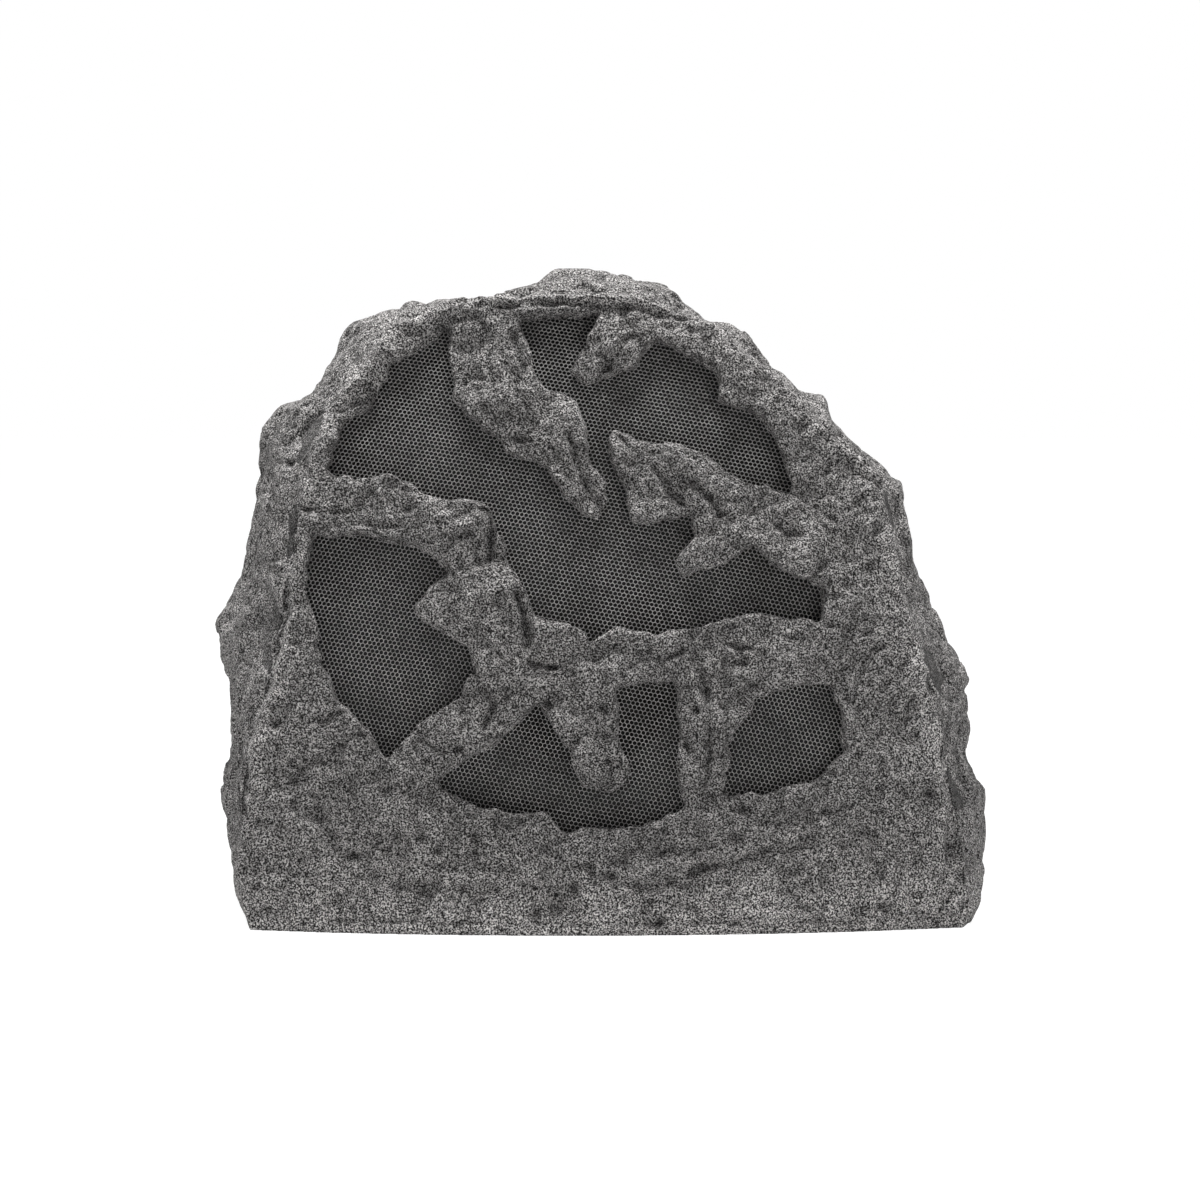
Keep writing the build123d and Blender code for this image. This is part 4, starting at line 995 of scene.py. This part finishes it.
class SPEAKER_OT_sheet(bpy.types.Operator):
    """Perforate the domed sheet behind the windows"""

    bl_idname = "speaker.sheet"
    bl_label = "Perforated Sheet"

    def execute(self, context):
        look = context.scene.speaker_look
        paint = painted_sheet(look, "sheet_paint")
        for name, outline in WINDOWS.items():
            patch = self.perforated(look, f"sheet_{name}", outline)
            finish_piece(patch, "enclosure", paint)
            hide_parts("grille_sheet")
        border = self.border(look)
        finish_piece(border, "enclosure", paint)
        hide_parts("grille_sheet")
        return {"FINISHED"}

    def perforated(self, look, name, outline):
        """Rows of six-sided cells with a hole in each, kept where a window shows them."""
        pitch = look.hole_pitch
        rise = pitch * math.sqrt(3.0)
        turn = Matrix.Rotation(look.row_slope, 2)
        rows = np.array(outline, float) * MM @ np.array(turn)
        margin = 6.0 * MM
        first_column, first_row = np.floor((rows.min(axis=0) - margin) / (pitch, rise))
        last_column, last_row = np.ceil((rows.max(axis=0) + margin) / (pitch, rise))
        bpy.ops.object.select_all(action="DESELECT")
        bpy.ops.mesh.primitive_circle_add(
            vertices=HOLE_SIDES, radius=pitch / math.sqrt(3.0), fill_type="NGON",
            location=(first_column * pitch, first_row * rise, 0.0),
        )
        sheet = bpy.context.active_object
        sheet.name = name
        bpy.ops.object.transform_apply()
        bpy.ops.object.mode_set(mode="EDIT")
        bpy.ops.mesh.inset(thickness=(pitch / 2 - look.hole_radius * math.cos(math.pi / HOLE_SIDES)))
        bpy.ops.mesh.delete(type="FACE")
        bpy.ops.object.mode_set(mode="OBJECT")
        for count, step in (
            (2, (pitch / 2, rise / 2, 0.0)),
            (int(last_column - first_column), (pitch, 0.0, 0.0)),
            (int(last_row - first_row), (0.0, rise, 0.0)),
        ):
            apply_modifier(
                sheet, "ARRAY", count=count, use_relative_offset=False, use_constant_offset=True,
                constant_offset_displace=step,
            )
        sheet.rotation_euler.z = look.row_slope
        only(sheet)
        bpy.ops.object.transform_apply()
        self.trim(sheet, outline)
        self.press(sheet, look)
        return sheet

    def trim(self, sheet, outline):
        """Delete the cells away from a window and join the rest."""
        cells = face_centres(sheet.data).reshape(-1, HOLE_SIDES, 3).mean(axis=1)
        spare = outside_distance(cells[:, 0], cells[:, 1], outline) > SHEET_SPARE
        sheet.data.polygons.foreach_set("select", np.repeat(spare, HOLE_SIDES))
        only(sheet)
        bpy.ops.object.mode_set(mode="EDIT")
        bpy.ops.mesh.select_mode(type="FACE")
        bpy.ops.mesh.delete(type="FACE")
        bpy.ops.mesh.select_all(action="SELECT")
        bpy.ops.mesh.remove_doubles(threshold=0.02 * MM)
        bpy.ops.object.mode_set(mode="OBJECT")

    def press(self, sheet, look):
        """Stand a flat sheet on the plane of the windows, press it to the dome and thicken it."""
        flat = read_points(sheet.data)
        stood = WINDOW_FOOT + np.outer(flat[:, 0], (1.0, 0.0, 0.0)) + np.outer(flat[:, 1], FACE_UP)
        spokes = stood - DOME_CENTRE
        reach = DOME_RADIUS - SHEET_DEPTH
        aim = spokes @ FACE_OUT
        level = np.linalg.norm(spokes, axis=1) ** 2 - aim**2
        stood += np.outer(np.sqrt(reach**2 - level) - aim, FACE_OUT)
        write_points(sheet.data, stood)
        apply_modifier(
            sheet, "SOLIDIFY", thickness=look.sheet_thickness, offset=-1.0, use_even_offset=False,
        )

    def border(self, look):
        """The plain rest of the sheet, clamped between the shell and the seal."""
        cell = BORDER_CELL * MM
        bpy.ops.object.select_all(action="DESELECT")
        bpy.ops.mesh.primitive_grid_add(
            x_subdivisions=BORDER_COLUMNS, y_subdivisions=BORDER_ROWS, size=1.0,
            location=(0.0, BORDER_MIDDLE * MM, 0.0),
        )
        sheet = bpy.context.active_object
        sheet.name = "sheet_border"
        sheet.scale = (BORDER_COLUMNS * cell, BORDER_ROWS * cell, 1.0)
        bpy.ops.object.transform_apply()
        across, up, _ = face_centres(sheet.data).T
        spare = nearest_window(across, up) < BORDER_OFF_WINDOW
        spare |= up < SHEET_FOOT + BORDER_CELL / 2
        spare |= outside_distance(across, up, FACE_OUTLINE) > -SHEET_INSET - BORDER_MARGIN
        sheet.data.polygons.foreach_set("select", spare)
        bpy.ops.object.mode_set(mode="EDIT")
        bpy.ops.mesh.select_mode(type="FACE")
        bpy.ops.mesh.delete(type="FACE")
        bpy.ops.object.mode_set(mode="OBJECT")
        self.press(sheet, look)
        return sheet


class SPEAKER_OT_inside(bpy.types.Operator):
    """Finish the drivers, the network, the base and the gland"""

    bl_idname = "speaker.inside"
    bl_label = "Drivers, Base and Gland"

    def execute(self, context):
        black = moulding("black_moulding", (0.005, 0.005, 0.005), 0.7)
        finishes = {
            black: [
                "baffle", "baffle_spacers", "terminal_strip", "tweeter_strip", "tweeter_faceplate",
                "terminal_block",
            ],
            moulding("base_moulding", (0.022, 0.022, 0.022), 0.7): ["base_plate"],
            moulding("gland_moulding", (0.028, 0.028, 0.029), 0.5): [
                "gland_body", "gland_nut", "gland_cap",
            ],
            moulding("soft_rubber", (0.016, 0.016, 0.016), 0.78): [
                "woofer_gasket", "base_gasket", "gland_seal", "gland_grommet", "woofer_surround",
            ],
            moulding("foam", (0.006, 0.006, 0.006), 0.9, 1.6 * MM): ["baffle_seal"],
            moulding("cone_film", (0.006, 0.006, 0.006), 0.6, 2.0 * MM): ["woofer_cone", "dust_cap"],
            moulding("frame_paint", (0.007, 0.007, 0.007), 0.6, 0.5 * MM): ["woofer_basket"],
            moulding("lead_sleeve", (0.02, 0.02, 0.02), 0.45): ["woofer_lead", "tweeter_lead"],
            moulding("board_laminate", (0.05, 0.12, 0.04), 0.55, 0.4 * MM): ["crossover_board"],
            moulding("capacitor_sleeve", (0.30, 0.05, 0.02), 0.3): ["crossover_capacitors"],
            moulding("cement", (0.55, 0.55, 0.52), 0.9, 0.5 * MM): ["crossover_resistor"],
            moulding("ferrite", (0.035, 0.035, 0.037), 0.6, 0.4 * MM): ["magnet", "tweeter_magnet"],
            plated("zinc_plate", (0.55, 0.55, 0.50), 0.38): [
                "top_plate", "back_plate", "tweeter_cup", "tweeter_pole",
            ],
            plated("black_screws", (0.03, 0.03, 0.03), 0.5, 0.6): [
                "woofer_screws", "tweeter_screws", "baffle_screws",
            ],
            plated("stainless", (0.5, 0.5, 0.5), 0.35): ["base_screws", "board_screws"],
            plated("brass_blades", (0.66, 0.46, 0.18), 0.35): ["terminal_tabs", "tweeter_tabs"],
            plated("copper_wire", (0.58, 0.24, 0.10), 0.4): ["voice_coil", "crossover_inductor"],
            woven("spider_cloth", (0.42, 0.27, 0.09), 1.0 * MM): ["spider"],
            woven("coated_silk", (0.02, 0.02, 0.021), 0.5 * MM): ["tweeter_diaphragm"],
        }
        for material, nodes in finishes.items():
            for node in nodes:
                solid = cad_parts[node]
                solid.data.materials.clear()
                solid.data.materials.append(material)
        return {"FINISHED"}


class SPEAKER_OT_studio(bpy.types.Operator):
    """Set the floor, the light and the camera"""

    bl_idname = "speaker.studio"
    bl_label = "Studio"

    def execute(self, context):
        studio = context.scene.studio_look
        self.floor()
        self.sky(context.scene, studio)
        self.lamp("left", LEFT_LAMP, studio.left_power)
        self.lamp("right", RIGHT_LAMP, studio.right_power)
        self.lamp("top", TOP_LAMP, studio.top_power)
        self.camera(context.scene, studio)
        context.scene.view_settings.view_transform = "Standard"
        return {"FINISHED"}

    def floor(self):
        """A wide pale floor that looks white to the camera and still takes a shadow."""
        bpy.ops.object.select_all(action="DESELECT")
        bpy.ops.mesh.primitive_grid_add(x_subdivisions=8, y_subdivisions=8, size=FLOOR_SIZE)
        ground = bpy.context.active_object
        ground.name = "floor"
        pale = Finish("pale_floor")
        pale.set(Base_Color=(FLOOR_SHADE, FLOOR_SHADE, FLOOR_SHADE, 1.0), Roughness=0.9)
        glow = pale.node("ShaderNodeEmission", None, {"Color": WHITE, "Strength": FLOOR_GLOW})
        seen = pale.node("ShaderNodeLightPath", None, None, "Is Camera Ray")
        mixed = pale.node("ShaderNodeMixShader", None, {0: seen * FLOOR_GLOW_SHARE, 2: glow})
        pale.tree.links.new(pale.surface.outputs[0], mixed.socket.node.inputs[1])
        pale.tree.links.new(mixed.socket, pale.tree.nodes["Material Output"].inputs["Surface"])
        ground.data.materials.append(pale.material)

    def sky(self, scene, studio):
        """Even light all round, white to the camera."""
        world = bpy.data.worlds.new("studio_sky")
        world.use_nodes = True
        scene.world = world
        tree = world.node_tree
        light = tree.nodes["Background"]
        light.inputs["Color"].default_value = WHITE
        light.inputs["Strength"].default_value = studio.sky
        white = tree.nodes.new("ShaderNodeBackground")
        white.inputs["Color"].default_value = WHITE
        white.inputs["Strength"].default_value = 1.0
        path = tree.nodes.new("ShaderNodeLightPath")
        mix = tree.nodes.new("ShaderNodeMixShader")
        tree.links.new(path.outputs["Is Camera Ray"], mix.inputs[0])
        tree.links.new(light.outputs[0], mix.inputs[1])
        tree.links.new(white.outputs[0], mix.inputs[2])
        tree.links.new(mix.outputs[0], tree.nodes["World Output"].inputs["Surface"])

    def lamp(self, name, place, power):
        """A soft square lamp that faces the boulder."""
        data = bpy.data.lights.new(name, "AREA")
        data.size = LAMP_SIZE
        data.energy = power
        lamp = bpy.data.objects.new(name, data)
        lamp.location = place
        lamp.rotation_euler = (Vector(LAMP_AIM) - Vector(place)).to_track_quat("-Z", "Y").to_euler()
        bpy.context.scene.collection.objects.link(lamp)

    def camera(self, scene, studio):
        """The camera in front of the boulder, looking slightly down."""
        data = bpy.data.cameras.new("camera")
        data.lens = studio.lens
        data.sensor_width = 36.0
        camera = bpy.data.objects.new("camera", data)
        target = Vector(studio.target)
        back = Vector((0.0, -math.cos(studio.elevation), math.sin(studio.elevation)))
        camera.location = target + back * studio.distance
        camera.rotation_euler = (-back).to_track_quat("-Z", "Y").to_euler()
        scene.collection.objects.link(camera)
        scene.camera = camera


class SPEAKER_PT_panel(bpy.types.Panel):
    """Lists the speaker's operators and the settings of its look"""

    bl_label = "Rock Speaker"
    bl_idname = "SPEAKER_PT_panel"
    bl_space_type = "VIEW_3D"
    bl_region_type = "UI"
    bl_category = "Rock Speaker"

    def draw(self, context):
        for operator in OPERATORS:
            self.layout.operator(operator.bl_idname)
        for look in (context.scene.speaker_look, context.scene.studio_look):
            for name in look.__annotations__:
                self.layout.prop(look, name)


OPERATORS = (SPEAKER_OT_boulder, SPEAKER_OT_sheet, SPEAKER_OT_inside, SPEAKER_OT_studio)
CLASSES = (SpeakerLook, StudioLook, *OPERATORS, SPEAKER_PT_panel)


def register():
    for made in CLASSES:
        bpy.utils.register_class(made)
    bpy.types.Scene.speaker_look = PointerProperty(type=SpeakerLook)
    bpy.types.Scene.studio_look = PointerProperty(type=StudioLook)


def unregister():
    del bpy.types.Scene.studio_look
    del bpy.types.Scene.speaker_look
    for made in reversed(CLASSES):
        bpy.utils.unregister_class(made)


def main():
    register()
    bpy.ops.speaker.boulder()
    bpy.ops.speaker.sheet()
    bpy.ops.speaker.inside()
    bpy.ops.speaker.studio()


if __name__ == "__main__":
    main()
